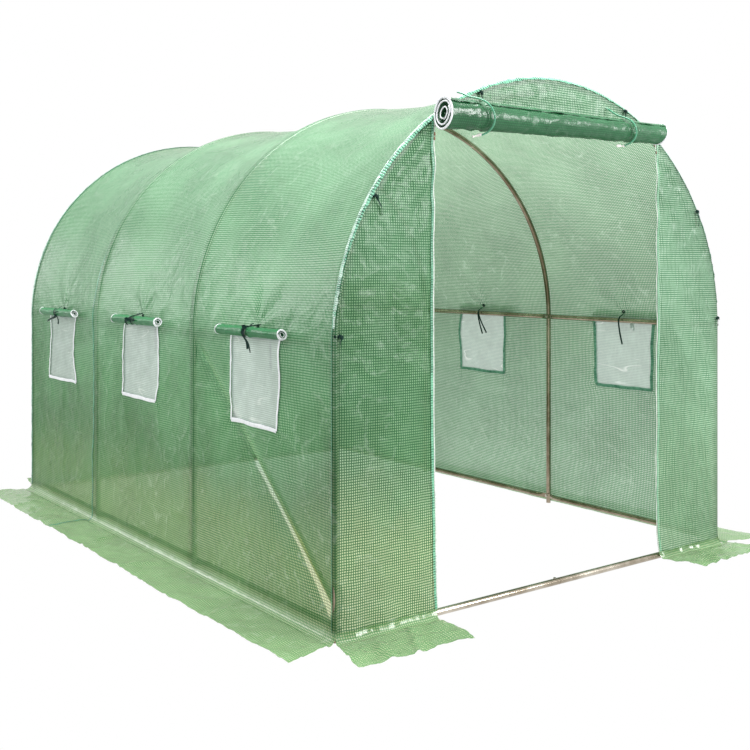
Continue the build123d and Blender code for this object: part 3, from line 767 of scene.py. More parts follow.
def tunnel_points(S, Y):
    x, z, nx, nz = section(S)
    off = tunnel_offset(S, Y, x, z)
    skirt = (S < S_BEND_L) | (S > S_BEND_R)
    bend = ((S >= S_BEND_L) & (S < S_FOOT_L)) | ((S <= S_BEND_R) & (S > S_FOOT_R))
    wallish = ~skirt & ~bend
    for (side, place), (wy0, wy1, wz0, wz1) in WIN.items():
        m = wallish & ((x < 0) == (side == "left")) & (z < 1.5) & (Y > wy0 - 0.5) & (Y < wy1 + 0.5)
        if not m.any():
            continue
        cy = (wy0 + wy1) / 2 - 0.010
        seed = hash_name(side + place)
        p = radial_pucker(Y, z, cy, wz1 + 0.038, 0.15, 6.5, 0.0062, seed)
        for ky, sgn in ((wy0, -1), (wy1, 1)):
            p = p + radial_pucker(Y * sgn, z * -1, ky * sgn, -wz0, 0.08, 4.0, 0.0040, seed + 3, -0.4, 1.9)
            p = p + radial_pucker(Y * sgn, z, ky * sgn, wz1, 0.10, 4.0, 0.0040, seed + 7, -0.9, 1.3)
        off = off + np.where(m, p, 0.0)
    # the brace holds the left wall's front bay out along its line
    by, bz = BRACE_B[0] - BRACE_A[0], BRACE_B[1] - BRACE_A[1]
    L = math.hypot(by, bz)
    dist = ((Y - BRACE_A[0]) * bz - (z - BRACE_A[1]) * by) / L
    along = ((Y - BRACE_A[0]) * by + (z - BRACE_A[1]) * bz) / L
    m = (x < 0) & wallish & (along > 0) & (along < L)
    off = off - np.where(m, 0.0120 * np.exp(-(dist / 0.050) ** 2) * smooth(along, 0.0, 0.06) * (1 - smooth(along, L - 0.06, L)), 0)
    # gathers beside the seams at both ends
    dfront = Y - HOOP_Y[0]
    g = perlin(S * 30.0, dfront * 7.0, 61) * 0.0034 + perlin(S * 62.0, dfront * 12.0, 62) * 0.0016
    off = off + np.where(~skirt, g * np.exp(-np.maximum(dfront, 0) / 0.060) * smooth(dfront, 0.006, 0.026), 0.0)
    drear = HOOP_Y[3] - Y
    g = perlin(S * 28.0, drear * 8.0, 63) * 0.0026
    off = off + np.where(~skirt, g * np.exp(-np.maximum(drear, 0) / 0.05) * smooth(drear, 0.006, 0.026), 0.0)
    off = np.clip(off, -0.0415, 0.0125)
    # the film rests on the brace and on the middle hoops, and never passes inside them
    brace_face = -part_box("corner_brace")[0].x
    rest = brace_face + 0.0020 - (HALF_W + SKIN) - 0.8 * np.maximum(0.0, np.abs(dist) - 0.024)
    near = (x < 0) & wallish & (along > -0.03) & (along < L + 0.03)
    off = np.where(near, np.maximum(off, rest), off)
    for hy in HOOP_Y[1:3]:
        off = np.where(~skirt, np.maximum(off, 0.0004 - 1.1 * np.maximum(0.0, np.abs(Y - hy) - 0.013)), off)
    near_rail = np.exp(-(((z - RAIL_Z) / 0.030) ** 2)) + np.exp(-(((z - 0.037) / 0.025) ** 2))
    off = np.where(wallish & (near_rail > 0.2), np.maximum(off, -0.0180), off)
    off = np.where(wallish & (np.abs(x) < 0.05) & (z > 1.5), np.maximum(off, -0.0205), off)
    off = np.where(bend, np.clip(off, -0.006, 0.008), off)
    # round the end hoops
    for hy, face, sg in ((HOOP_Y[0], FRONT_Y, -1.0), (HOOP_Y[3], REAR_Y, 1.0)):
        t = np.clip((Y - hy) / (face - hy), 0, 1)
        ang = t * math.radians(72)
        over = (t > 0) & ~skirt
        ty = smooth(z, 0.0, 0.05)
        off = np.where(over, off - SKIN * (1 - np.cos(ang)) * ty, off)
    YY = Y.copy()
    for hy, face, sg in ((HOOP_Y[0], FRONT_Y, -1.0), (HOOP_Y[3], REAR_Y, 1.0)):
        t = np.clip((Y - hy) / (face - hy), 0, 1)
        YY = np.where((t > 0) & ~skirt, hy + sg * 0.0140 * np.sin(t * math.radians(72)), YY)
    dY, dZ = window_warp(x, Y, z)
    X = x + nx * off
    Z = z + nz * off + np.where(wallish, dZ, 0.0)
    YY = YY + np.where(wallish, dY, 0.0)
    # the skirt spreads from the wall's foot, lies in soft ripples, and its ends are cut on the slant
    out = np.where(S < S_FOOT_L, (S_FOOT_L - S) / (S_FOOT_L), np.where(S > S_FOOT_R, (S - S_FOOT_R) / (S_END - S_FOOT_R), 0.0))
    k0 = (FRONT_Y + 0.002 - 0.075 * out)
    k1 = (REAR_Y - 0.002 + 0.020 * out)
    tt = (Y - FRONT_Y) / (REAR_Y - FRONT_Y)
    YY = np.where(skirt | bend, k0 + tt * (k1 - k0), YY)
    sg = np.where(S < S_FOOT_L, -1.0, 1.0)
    rip = 0.0030 + 0.0105 * np.maximum(0, fbm(YY * 2.6, out * 1.3 + sg * 5, 71, 2) + 0.15) * smooth(out, 0.10, 0.4)
    rip = rip + 0.0068 * np.maximum(0, crumple(YY * 7.0, out * 2.0 + sg * 9, 72, 3)) * smooth(out, 0.05, 0.25)
    rip = rip + 0.0036 * np.abs(crumple(YY * 19.0, out * 5.0, 73, 2)) * smooth(out, 0.05, 0.20)
    # folds across the skirt, as where it was creased in its packet
    for j, fy in enumerate((-0.95, -0.28, 0.18, 0.62, 1.10)):
        c = fy + 0.10 * (out - 0.5) * (1 if j % 2 else -1) + 0.02 * perlin(out * 3.0, out * 0 + j, 76)
        rip = rip + (0.0065 + 0.004 * (j % 3)) * np.exp(-np.abs(YY - c) / (0.012 + 0.010 * (j % 2))) * smooth(out, 0.10, 0.45)
    Z = np.where(skirt, np.maximum(0.0012, rip), Z)
    Z = np.where(bend, np.maximum(Z, 0.0020), Z)
    edge = sg * 0.010 * fbm(YY * 1.5, sg * 3.0, 75, 2) - 0.006 * sg
    X = np.where(skirt, X + edge * out, X)
    return np.stack([X, YY, Z], -1)


def tunnel_sheet(name, ya, yb, replaced):
    keep_y = [v for w in WIN.values() for v in w[:2]]
    ys = lines_between(ya, yb, 0.0125, [v for v in keep_y if ya < v < yb] + [v for v in HOOP_Y if ya <= v <= yb])
    ys = refine(ys, [v for v in HOOP_Y], 0.024, 0.0040)
    zs = sorted({round(v, 6) for w in WIN.values() for v in w[2:]})
    keep_s = [S_BEND_L, S_FOOT_L, S_SPRING_L, S_SPRING_R, S_FOOT_R, S_BEND_R]
    for v in zs:
        keep_s += [float(s_on_wall("left", v)), float(s_on_wall("right", v))]
    half_s = (S_SPRING_L + S_SPRING_R) / 2
    ss = np.concatenate([lines_between(0.0, half_s, 0.0118, [k for k in keep_s if k < half_s])[:-1],
                         lines_between(half_s, S_END, 0.0165, [k for k in keep_s if k > half_s])])
    ss = refine(ss, [(S_BEND_L + S_FOOT_L) / 2, (S_BEND_R + S_FOOT_R) / 2], 0.034, 0.0068)
    S, Y = np.meshgrid(ss, ys, indexing="ij")
    P = tunnel_points(S, Y)
    UV = np.stack([Y - HOOP_Y[0], S], -1)
    cs, cy = (ss[:-1] + ss[1:]) / 2, (ys[:-1] + ys[1:]) / 2
    CS, CY = np.meshgrid(cs, cy, indexing="ij")
    cx, _, _, _ = section(CS)
    keep = np.ones(CS.shape, bool)
    for (side, place), (wy0, wy1, wz0, wz1) in WIN.items():
        sa, sb = sorted((float(s_on_wall(side, wz0)), float(s_on_wall(side, wz1))))
        keep &= ~((CY > wy0) & (CY < wy1) & (CS > sa) & (CS < sb))
    cell = np.where((CS < S_FOOT_L) | (CS > S_FOOT_R), 1, 0)
    sh = Sheet()
    sh.grid(P, UV, keep=keep, cell_mat=cell)
    o = sh.build(name, [MAT_WALL, MAT_SKIRT_PAINTED_SHADE])
    finish_piece(o, replaced)
    return o


SEAM_Y = HOOP_Y[2] + 0.030
TUNNEL = ("cover_roof", "cover_wall_left", "cover_wall_right", "skirt_left", "skirt_right")
tunnel_sheet("cover_front_width", FRONT_Y, SEAM_Y, TUNNEL)
tunnel_sheet("cover_rear_width", SEAM_Y, REAR_Y, TUNNEL)


# ------------------------------------------------------------------ front and rear ends
SPAN = 2 * LEG_H + ARC


def outline(s):
    """Taut section of the tunnel's end: s from the left foot over the top to the right foot."""
    s = np.asarray(s, float)
    x, z, nx, nz = section(np.clip(s, LEG_H, LEG_H + ARC) - LEG_H + S_SPRING_L)
    left, right = s < LEG_H, s > LEG_H + ARC
    x = np.where(left, -A0, np.where(right, A0, x))
    z = np.where(left, s, np.where(right, SPAN - s, z))
    nx = np.where(left, -1.0, np.where(right, 1.0, nx))
    nz = np.where(left | right, 0.0, nz)
    return x, z, nx, nz


def end_area():
    """Flat area of one end of the tunnel, from the ground to the top of its arch."""
    x, z, _, _ = outline(np.linspace(0.0, SPAN, 600))
    return float(0.5 * np.sum((z[1:] + z[:-1]) * np.diff(x)))


def s_at_x_left(xq):
    """Distance along the outline, from the left foot, where the arch reaches x."""
    th = math.acos(xq / A0)
    return LEG_H + float(np.interp(-th, -_th, _al))


def front_depth(X, Z, reach, back, s):
    """How the front film stands: y at (x, z), with reach the way to the hoop and back the way to the door."""
    low = smooth(Z, 0.02, 0.25)
    gather = perlin(s * 25.0, reach * 5.0, 81) * 0.0085 + perlin(s * 52.0, reach * 10.0, 82) * 0.0038
    gather = gather * np.exp(-reach / 0.100) * smooth(reach, 0.012, 0.034)
    soft = fbm(X * 3.4, Z * 2.0, 83, 2) * 0.0080
    crumpled = crumple(X * 6.5 + 7, Z * 5.0, 84, 3) * 0.0068
    fine = crumple(X * 19.0, Z * 15.0, 85, 2) * 0.0018
    vertical = 0.0045 * np.maximum(0, perlin(X * 19.0 + 0.9 * perlin(Z * 3, X, 87), Z * 1.3, 86)) * low
    corner = np.exp(-np.hypot(np.abs(X) - DOOR_HALF, (Z - DOOR_TOP)) / 0.28)
    diag = 0.0075 * corner * np.cos((np.abs(X) * 0.80 + Z * 0.60) * 62.0 + 2.5 * perlin(X * 4, Z * 4, 88))
    hem = smooth(back, 0.0, 0.040)
    quiet = 1.0 - 0.80 * smooth(Z, 1.60, 1.66) * (1 - smooth(Z, 1.80, 1.86)) * (1 - smooth(np.abs(X), 0.60, 0.70))
    Y = FRONT_Y + 0.0025 + 0.0010 * np.exp(-reach / 0.010)
    Y = Y - (gather + (soft + crumpled + fine + vertical) * smooth(reach, 0.012, 0.07) * (0.30 + 0.70 * hem) * quiet)
    Y = Y - diag * smooth(reach, 0.015, 0.06) * quiet
    # near the mullion-free edge the film curls a little
    Y = Y - 0.0040 * (1 - hem) * perlin(Z * 7.0, X * 0 + np.sign(X) * 3, 89) * low * quiet
    return np.clip(Y, FRONT_Y - 0.0240, FRONT_Y + 0.0110)


def door_edge(z, s):
    """The doorway's edge bows a little from top to foot (s is -1 or 1)."""
    z = np.asarray(z, float)
    if s < 0:
        return -(DOOR_HALF + np.interp(z, [0.0, 0.08, 0.34, 0.75, 1.3, 1.71], [-0.0160, -0.0110, -0.0060, 0.0040, 0.0035, 0.0]))
    return DOOR_HALF + np.interp(z, [0.0, 0.10, 0.27, 0.55, 0.99, 1.40, 1.71], [0.0080, -0.0080, -0.0180, -0.0140, -0.0100, -0.0130, -0.0160])


def foot_skirt(sh, xa, xb, y0, width, out, rise, tilt, seed, nu, nv, uv_off=0.0):
    """Film that turns from an end's foot onto the ground and lies there; xa, xb, y0 and width are functions of u."""
    u = np.linspace(0, 1, nu)
    v = np.concatenate([np.linspace(0, 0.16, 9, endpoint=False), np.linspace(0.16, 1, nv)])
    U, V = np.meshgrid(u, v, indexing="xy")
    W = width(U)
    total = RF * math.pi / 2 + W - RF
    d = V * total
    be = np.clip(d / RF, 0, math.pi / 2)
    flat = np.maximum(0.0, d - RF * math.pi / 2)
    X = xa(U) * (1 - V) + xb(U) * V
    crease = perlin(X * 24, V * 3, seed + 3)
    R = RF * (1.0 + 0.25 * perlin(X * 9, X * 0, seed + 6))
    Yn = y0(X) + out * (R * (1 - np.cos(be)) + flat)
    Zn = rise - R * np.sin(be) * (rise / R)
    rip = 0.0030 + 0.014 * np.maximum(0, fbm(X * 4.4, Yn * 5.0, seed, 2) + 0.12) * smooth(V, 0.15, 0.5)
    rip = rip + 0.010 * np.maximum(0, crumple(X * 8.0, Yn * 8.0 + 3, seed + 1, 3)) * smooth(V, 0.10, 0.3)
    rip = rip + 0.0045 * np.abs(crumple(X * 21.0, Yn * 19.0 + 3, seed + 2, 2)) * smooth(V, 0.10, 0.3)
    rip = rip + tilt(U, V)
    k = smooth(V, 0.06, 0.24)
    Zn = Zn * (1 - k) + np.clip(rip, 0.0012, 0.040) * k
    Yn = Yn + out * 0.006 * crease * (1 - k) * smooth(V, 0.0, 0.05)
    Zn = np.maximum(Zn, 0.0012)
    sh.grid(np.stack([X, Yn, Zn], -1), np.stack([X, rise - d + uv_off], -1), mat=1, flip=(out < 0) == (xa(0.0) > xa(1.0)))
    return X, Yn, Zn


def front_sheet():
    half = SPAN / 2
    ko = [0.0, LEG_H, s_at_x_left(-0.905), s_at_x_left(-0.655), half]
    inner = [(-DOOR_HALF, 0.0), (-DOOR_HALF, LEG_H), (-DOOR_HALF, 1.36), (-DOOR_HALF, DOOR_TOP), (0.0, DOOR_TOP)]
    ss = lines_between(0.0, half, 0.0105, ko)
    ix = np.interp(ss, ko, [p[0] for p in inner])
    iz = np.interp(ss, ko, [p[1] for p in inner])
    ss = np.concatenate([ss, (SPAN - ss)[::-1][1:]])
    ix = np.concatenate([ix, (-ix)[::-1][1:]])
    iz = np.concatenate([iz, iz[::-1][1:]])
    on_left, on_right = ix < -DOOR_HALF + 1e-6, ix > DOOR_HALF - 1e-6
    ix = np.where(on_left, door_edge(iz, -1), np.where(on_right, door_edge(iz, 1), ix))
    rows = np.concatenate([np.linspace(0, 0.20, 13, endpoint=False), np.linspace(0.20, 1.0, 34)])
    ox, oz, onx, onz = outline(ss)
    ox, oz = ox - onx * 0.0062, oz - onz * 0.0062
    S, K = np.meshgrid(ss, rows, indexing="xy")
    X = ox[None, :] * (1 - K) + ix[None, :] * K
    Z = oz[None, :] * (1 - K) + iz[None, :] * K
    reach = np.hypot(ox - ix, oz - iz)[None, :] * K        # distance from the hoop
    back = np.hypot(ox - ix, oz - iz)[None, :] * (1 - K)   # distance from the door's edge
    Y = front_depth(X, Z, reach, back, S)
    Z = np.where(Z < 0.034, 0.030 + 0.004 * Z / 0.034, Z)
    sh = Sheet()
    sh.grid(np.stack([X, Y, Z], -1), np.stack([X, Z], -1), mat=0, flip=True)
    # skirts in front of the two panels
    for s in (-1, 1):
        lo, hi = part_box("skirt_front_left" if s < 0 else "skirt_front_right")
        width = FRONT_Y - lo.y
        y0 = lambda x: front_depth(x, np.full_like(x, 0.032), A0 - np.abs(x), np.abs(x) - DOOR_HALF, np.abs(x) * 0 + (0.03 if s < 0 else SPAN - 0.03))
        if s < 0:
            foot_skirt(sh, lambda u: -(DOOR_HALF - 0.012 + (A0 - 0.006 - DOOR_HALF + 0.012) * u), lambda u: -(DOOR_HALF + 0.035 + (A0 + 0.078 - DOOR_HALF - 0.035) * u),
                       y0, lambda u: (width - 0.004) * (1.0 - 0.02 * np.sin(3 * u)), -1.0, 0.032,
                       lambda u, v: 0.012 * np.exp(-(((u - 0.72) / 0.05) ** 2)) * smooth(v, 0.2, 0.6) + 0.010 * np.exp(-(((u - 0.30 - 0.2 * v) / 0.03) ** 2)) * smooth(v, 0.1, 0.4), 91, 64, 34)
        else:
            foot_skirt(sh, lambda u: DOOR_HALF + 0.006 + (A0 - 0.006 - DOOR_HALF - 0.006) * u, lambda u: DOOR_HALF + 0.055 + (A0 + 0.078 - DOOR_HALF - 0.055) * u,
                       y0, lambda u: (width - 0.004) * (0.80 - 0.05 * u), -1.0, 0.032,
                       lambda u, v: 0.010 * np.exp(-(((u - 0.45 + 0.2 * v) / 0.04) ** 2)) * smooth(v, 0.15, 0.5), 95, 64, 34)
    o = sh.build("front_end", [MAT_GABLE, MAT_SKIRT_PAINTED_SHADE])
    finish_piece(o, ("front_panel_left", "front_panel_right", "front_panel_top", "skirt_front_left", "skirt_front_right"))
    flap_l = 0.5 * ((A0 + 0.006 - DOOR_HALF) + (A0 + 0.043 - DOOR_HALF)) * (width - 0.004)
    flap_r = 0.5 * ((A0 - 0.012 - DOOR_HALF) + (A0 + 0.023 - DOOR_HALF)) * (width - 0.004) * 0.775
    cut = end_area() - 2 * DOOR_HALF * DOOR_TOP + flap_l + flap_r
    return o


front_sheet()


def rear_sheet():
    n = 150
    zs = np.concatenate([[0.030, 0.034, 0.040], np.linspace(0.050, LEG_H, 70), LEG_H + B0 * np.sin(np.linspace(0, math.pi / 2, 72)[1:-1])])
    u = np.linspace(-1, 1, n)
    zz = np.clip((zs - LEG_H) / B0, 0, 1)
    half = np.where(zs > LEG_H, A0 * np.sqrt(np.maximum(0, 1 - zz ** 2)), A0) - 0.0060
    half = np.maximum(half, 0.02)
    U, Zg = np.meshgrid(u, zs, indexing="xy")
    X = U * half[:, None]
    reach = (1 - np.abs(U)) * half[:, None]
    reach = np.minimum(reach, np.maximum(0.0, (TOP_Z + SKIN) - Zg))

    def depth(X, Zg, reach):
        ang = np.arctan2(np.maximum(Zg - LEG_H, 0.0), X)
        Y = REAR_Y - 0.0025 - 0.0010 * np.exp(-reach / 0.010)
        gather = perlin(np.where(Zg > LEG_H, ang * 1.0, Zg) * 27.0, reach * 5.0, 181) * 0.0056 * np.exp(-reach / 0.08) * smooth(reach, 0.012, 0.034)
        soft = fbm(X * 2.2 + 4, Zg * 1.8, 183, 2) * 0.0065
        crumpled = crumple(X * 6.5, Zg * 5.0, 184, 3) * 0.0040
        fine = crumple(X * 19.0, Zg * 15.0, 185, 2) * 0.0012
        vertical = 0.0040 * np.maximum(0, perlin(X * 13.0, Zg * 1.2, 186)) * smooth(Zg, 0.02, 0.25)
        return np.clip(Y + gather + (soft + crumpled + fine + vertical) * smooth(reach, 0.012, 0.07), REAR_Y - 0.0110, REAR_Y + 0.0195)

    sh = Sheet()
    sh.grid(np.stack([X, depth(X, Zg, reach), Zg], -1), np.stack([X, Zg], -1), mat=0)
    lo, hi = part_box("skirt_rear")
    width = hi.y - REAR_Y
    foot_skirt(sh, lambda u: (2 * u - 1) * (A0 - 0.006), lambda u: (2 * u - 1) * (A0 - 0.055),
               lambda x: depth(x, np.full_like(x, 0.032), A0 - np.abs(x)), lambda u: width - 0.004 + 0 * u, 1.0, 0.032,
               lambda u, v: 0.010 * np.exp(-(((u - 0.4 + 0.05 * v) / 0.02) ** 2)) * smooth(v, 0.15, 0.5), 191, 150, 26)
    o = sh.build("rear_end", [MAT_GABLE, MAT_SKIRT_PAINTED_SHADE])
    finish_piece(o, ("rear_panel", "skirt_rear"))
    rlo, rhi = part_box("skirt_rear")
    deep = rhi.y - rlo.y
    end_area() + (2 * A0 - 0.07) * deep
    return o


rear_sheet()


# ------------------------------------------------------------------ seams
def strip(name, line, normal, side_dir, width, mat, lift=0.0012, wave=0.0, wave_scale=20.0, seed=0, across=4, vary=0.25, bulge=0.0008):
    """A sewn tape that follows a line: line, normal and side_dir are (n, 3) arrays."""
    line, normal, side_dir = (np.asarray(a, float) for a in (line, normal, side_dir))
    d = np.concatenate([[0], np.cumsum(np.linalg.norm(np.diff(line, axis=0), axis=1))])
    t = np.linspace(-0.5, 0.5, across)
    w = width * (1 + vary * perlin(d * wave_scale, d * 0, seed))
    P = line[:, None, :] + side_dir[:, None, :] * (t[None, :, None] * w[:, None, None])
    P = P + normal[:, None, :] * (lift + (1 - (2 * t) ** 2)[None, :, None] * bulge)
    if wave:
        P = P + normal[:, None, :] * (wave * perlin(d * wave_scale, d * 0 + 3, seed + 5))[:, None, None] * (0.5 + t[None, :, None])
    UV = np.stack(np.broadcast_arrays(d[:, None], t[None, :] * width), -1)
    sh = Sheet()
    sh.grid(P, UV, mat=0)
    o = sh.build(name, [mat])
    return o, float(d[-1])


def declare(length):
    """Takes a narrow sheet's length, kept at 0.01 m or more, and does nothing further with it."""
    length = max(length, 0.01)


def seam_on_section(name, y, wob, seed, width=0.012, mat=MAT_SEAM, s0=None, s1=None, lift=0.0014, replaced=()):
    ss = lines_between(S_FOOT_L if s0 is None else s0, S_FOOT_R if s1 is None else s1, 0.010)
    yy = y + wob * fbm(ss * 2.4, ss * 0, seed, 2)
    P = tunnel_points(ss.copy(), yy.copy())
    _, _, nx, nz = section(ss)
    nrm = np.stack([nx, nx * 0, nz], -1)
    side = np.tile([0.0, 1.0, 0.0], (len(ss), 1))
    o, L = strip(name, P, nrm, side, width, mat, lift=lift, seed=seed)
    finish_piece(o, replaced)
    declare(L)
    return o


seam_on_section("seam_mid", SEAM_Y + 0.004, 0.016, 201, width=0.011, s0=0.004, s1=S_END - 0.004)
seam_on_section("seam_rear_edge", HOOP_Y[3] - 0.006, 0.002, 207, width=0.010)


def tube_seam(name, end, s0, s1, degrees, width, mat, seed, lift=0.0016, wob=3.0, step=0.007, wave=0.0, wave_scale=30.0, bulge=0.0008, vary=0.3):
    """A seam that runs along the outside of an end hoop's tube, turned degrees round it from the outermost line to the
    end's face.
    s0 and s1 are distances along the end's outline, and degrees is one number or a function of that distance, such as
    a table by height."""
    hy, out = (HOOP_Y[0], -1.0) if end == "front" else (HOOP_Y[3], 1.0)
    ss = lines_between(s0, s1, step)
    x, z, nx, nz = outline(ss)
    cx, cz = x - nx * SKIN, z - nz * SKIN                # the tube's own line
    if callable(degrees):
        al = degrees(ss)
    else:
        al = np.full_like(ss, float(degrees))
    al = np.radians(al + wob * fbm(ss * 9.0, ss * 0, seed, 2) * 2.0)
    r = SKIN + lift
    N3 = np.stack([nx * np.cos(al), out * np.sin(al), nz * np.cos(al)], -1)
    T3 = np.stack([-nx * np.sin(al), out * np.cos(al), -nz * np.sin(al)], -1)
    P = np.stack([cx, np.full_like(cx, hy), cz], -1) + N3 * r
    P[:, 2] = np.maximum(P[:, 2], 0.014)
    o, L = strip(name, P, N3, T3, width, mat, lift=0.0, wave=wave, wave_scale=wave_scale, seed=seed, across=5, bulge=bulge, vary=vary)
    finish_piece(o, ())
    declare(L)
    return o


def by_height(table_z, table_deg):
    def f(ss):
        _, z, _, _ = outline(ss)
        return np.interp(z, table_z, table_deg)
    return f


# the front seam: dark on the outer side of the legs, a pale puckered ridge over the arch with a dark line inside it.
# The pale colour of the ridge and of the gathers beside it is a painted highlight where the film wraps the tube.
tube_seam("seam_front_leg_left", "front", 0.030, LEG_H + 0.16, by_height((0, 0.9, 1.15), (-24, -26, -20)), 0.0105, MAT_SEAM, 231)
tube_seam("seam_front_leg_right", "front", SPAN - LEG_H - 0.16, SPAN - 0.030, by_height((0, 0.9, 1.15), (-24, -26, -20)), 0.0105, MAT_SEAM, 232)
tube_seam("seam_front_ridge", "front", LEG_H + 0.10, SPAN - LEG_H - 0.10, by_height((1.05, 1.25, 1.5, 1.9), (-14, -6, 6, 10)), 0.0064, MAT_SEAM_PAINTED_HIGHLIGHT, 233, wave=0.0026, wave_scale=44.0, bulge=0.0012, vary=0.5, wob=6.0)
tube_seam("seam_front_dark", "front", LEG_H + 0.10, SPAN - LEG_H - 0.10, by_height((1.05, 1.25, 1.45, 1.9), (14, 30, 46, 52)), 0.0125, MAT_SEAM_MIX, 235, wave=0.0040, wave_scale=40.0, vary=0.7, wob=7.0)
tube_seam("seam_front_gather", "front", LEG_H + 0.06, LEG_H + 0.62, 24.0, 0.0085, MAT_SEAM_PAINTED_HIGHLIGHT, 239, wave=0.0050, wave_scale=60.0, vary=1.1, wob=9.0, lift=0.0030)
# the rear ridge's pale colour is a painted highlight too
tube_seam("seam_rear_ridge", "rear", 0.030, SPAN - 0.030, by_height((0, 0.9, 1.5, 1.9), (-10, -10, 14, 20)), 0.0110, MAT_SEAM_PAINTED_HIGHLIGHT, 236, wave=0.003, bulge=0.0018)
tube_seam("seam_rear_dark", "rear", 0.030, SPAN - 0.030, by_height((0, 0.9, 1.5, 1.9), (55, 55, 64, 74)), 0.0085, MAT_SEAM, 237, wave=0.0020)

# the door's edges: a toothed zip, and a stitched hem beside it
for s, side in ((-1, "left"), (1, "right")):
    zz = lines_between(0.034, DOOR_TOP - 0.004, 0.006)
    ex = door_edge(zz, s)
    far = np.full_like(zz, 0.35)
    tag = np.full_like(zz, 0.5 if s < 0 else SPAN - 0.5)
    ey = front_depth(ex, zz, far, far * 0, tag)
    base = np.stack([ex, ey - 0.0012, zz], -1)
    nrm = np.tile([0.0, -1.0, 0.0], (len(zz), 1))
    sd = np.tile([float(s), 0.0, 0.0], (len(zz), 1))
    o, L = strip("door_zip_tape_" + side, base, nrm, sd, 0.0046 if s < 0 else 0.0042, MAT_ZIP, lift=0.0022, seed=223 + s, across=4, wave_scale=9, vary=0.12)
    finish_piece(o, ("door_zip_" + side,))
    declare(L)
    hem = base + np.array([s * 0.0095, 0.0, 0.0])
    hem[:, 1] = front_depth(hem[:, 0], zz, far, far * 0 + 0.0105, tag) - 0.0012
    for part_name, z0, z1, mat in (("low", 0.0, 0.86, MAT_HEM if s < 0 else MAT_HEM_SOFT), ("high", 0.84, 9.0, MAT_HEM_PALE if s < 0 else MAT_HEM_SOFT)):
        m = (zz >= z0) & (zz <= z1)
        o, L = strip("door_hem_%s_%s" % (side, part_name), hem[m], nrm[m], sd[m], 0.0100, mat, lift=0.0030 if part_name == "low" else 0.0034,
                     wave=0.0020, wave_scale=24.0, seed=227 + s, across=5, vary=0.15)
        finish_piece(o, ())
    # the two sliders at the zip's top
    for j, zt in enumerate((1.664, 1.649) if s < 0 else (1.676,)):
        yt = float(np.interp(zt, zz, ey)) - 0.0062
        prof = [(-1, 0.0), (-0.9, 0.7), (-0.3, 1.0), (0.3, 0.55), (0.9, 0.8), (1, 0.0)]
        vs, fs = [], []
        for (u, k) in prof:
            for i in range(10):
                b = 2 * math.pi * i / 10
                vs.append((float(door_edge(zt, s)) + 0.0042 * k * math.cos(b), yt + 0.0024 * k * math.sin(b), zt + 0.0062 * u))
        for a in range(len(prof) - 1):
            for i in range(10):
                fs.append((a * 10 + i, a * 10 + (i + 1) % 10, (a + 1) * 10 + (i + 1) % 10, (a + 1) * 10 + i))
        o = mesh_from("zip_slider_%s_%d" % (side, j), vs, fs, [(v[0], v[2]) for v in vs], [MAT_SLIDER])
        finish_piece(o, ())


# ------------------------------------------------------------------ rolled sheets
def tube_mesh(name, pts, radius, mat, uv_scale=1.0, sides=8, squash=1.0, up=None):
    """A closed round strand through pts; radius may vary along it."""
    pts = np.asarray(pts, float)
    n = len(pts)
    tang = np.gradient(pts, axis=0)
    tang /= np.linalg.norm(tang, axis=1)[:, None] + 1e-12
    ref = np.asarray(up if up is not None else (0.0, 0.0, 1.0), float)
    u = ref - tang * (tang @ ref)[:, None]
    bad = np.linalg.norm(u, axis=1) < 1e-3
    u[bad] = np.cross(tang[bad], [0.3, 1.0, 0.2])
    u /= np.linalg.norm(u, axis=1)[:, None]
    v = np.cross(tang, u)
    r = np.broadcast_to(np.asarray(radius, float), (n,))
    b = np.linspace(0, 2 * math.pi, sides, endpoint=False)
    P = pts[:, None, :] + r[:, None, None] * (u[:, None, :] * np.cos(b)[None, :, None] * squash + v[:, None, :] * np.sin(b)[None, :, None])
    verts = P.reshape(-1, 3).tolist() + [pts[0].tolist(), pts[-1].tolist()]
    faces = []
    for i in range(n - 1):
        for j in range(sides):
            faces.append((i * sides + j, i * sides + (j + 1) % sides, (i + 1) * sides + (j + 1) % sides, (i + 1) * sides + j))
    for j in range(sides):
        faces.append((n * sides, (j + 1) % sides, j))
        faces.append((n * sides + 1, (n - 1) * sides + j, (n - 1) * sides + (j + 1) % sides))
    d = np.concatenate([[0], np.cumsum(np.linalg.norm(np.diff(pts, axis=0), axis=1))])
    uv = [(float(d[i]) * uv_scale, j * 0.004) for i in range(n) for j in range(sides)] + [(0, 0), (float(d[-1]), 0)]
    return mesh_from(name, verts, faces, uv, [mat])


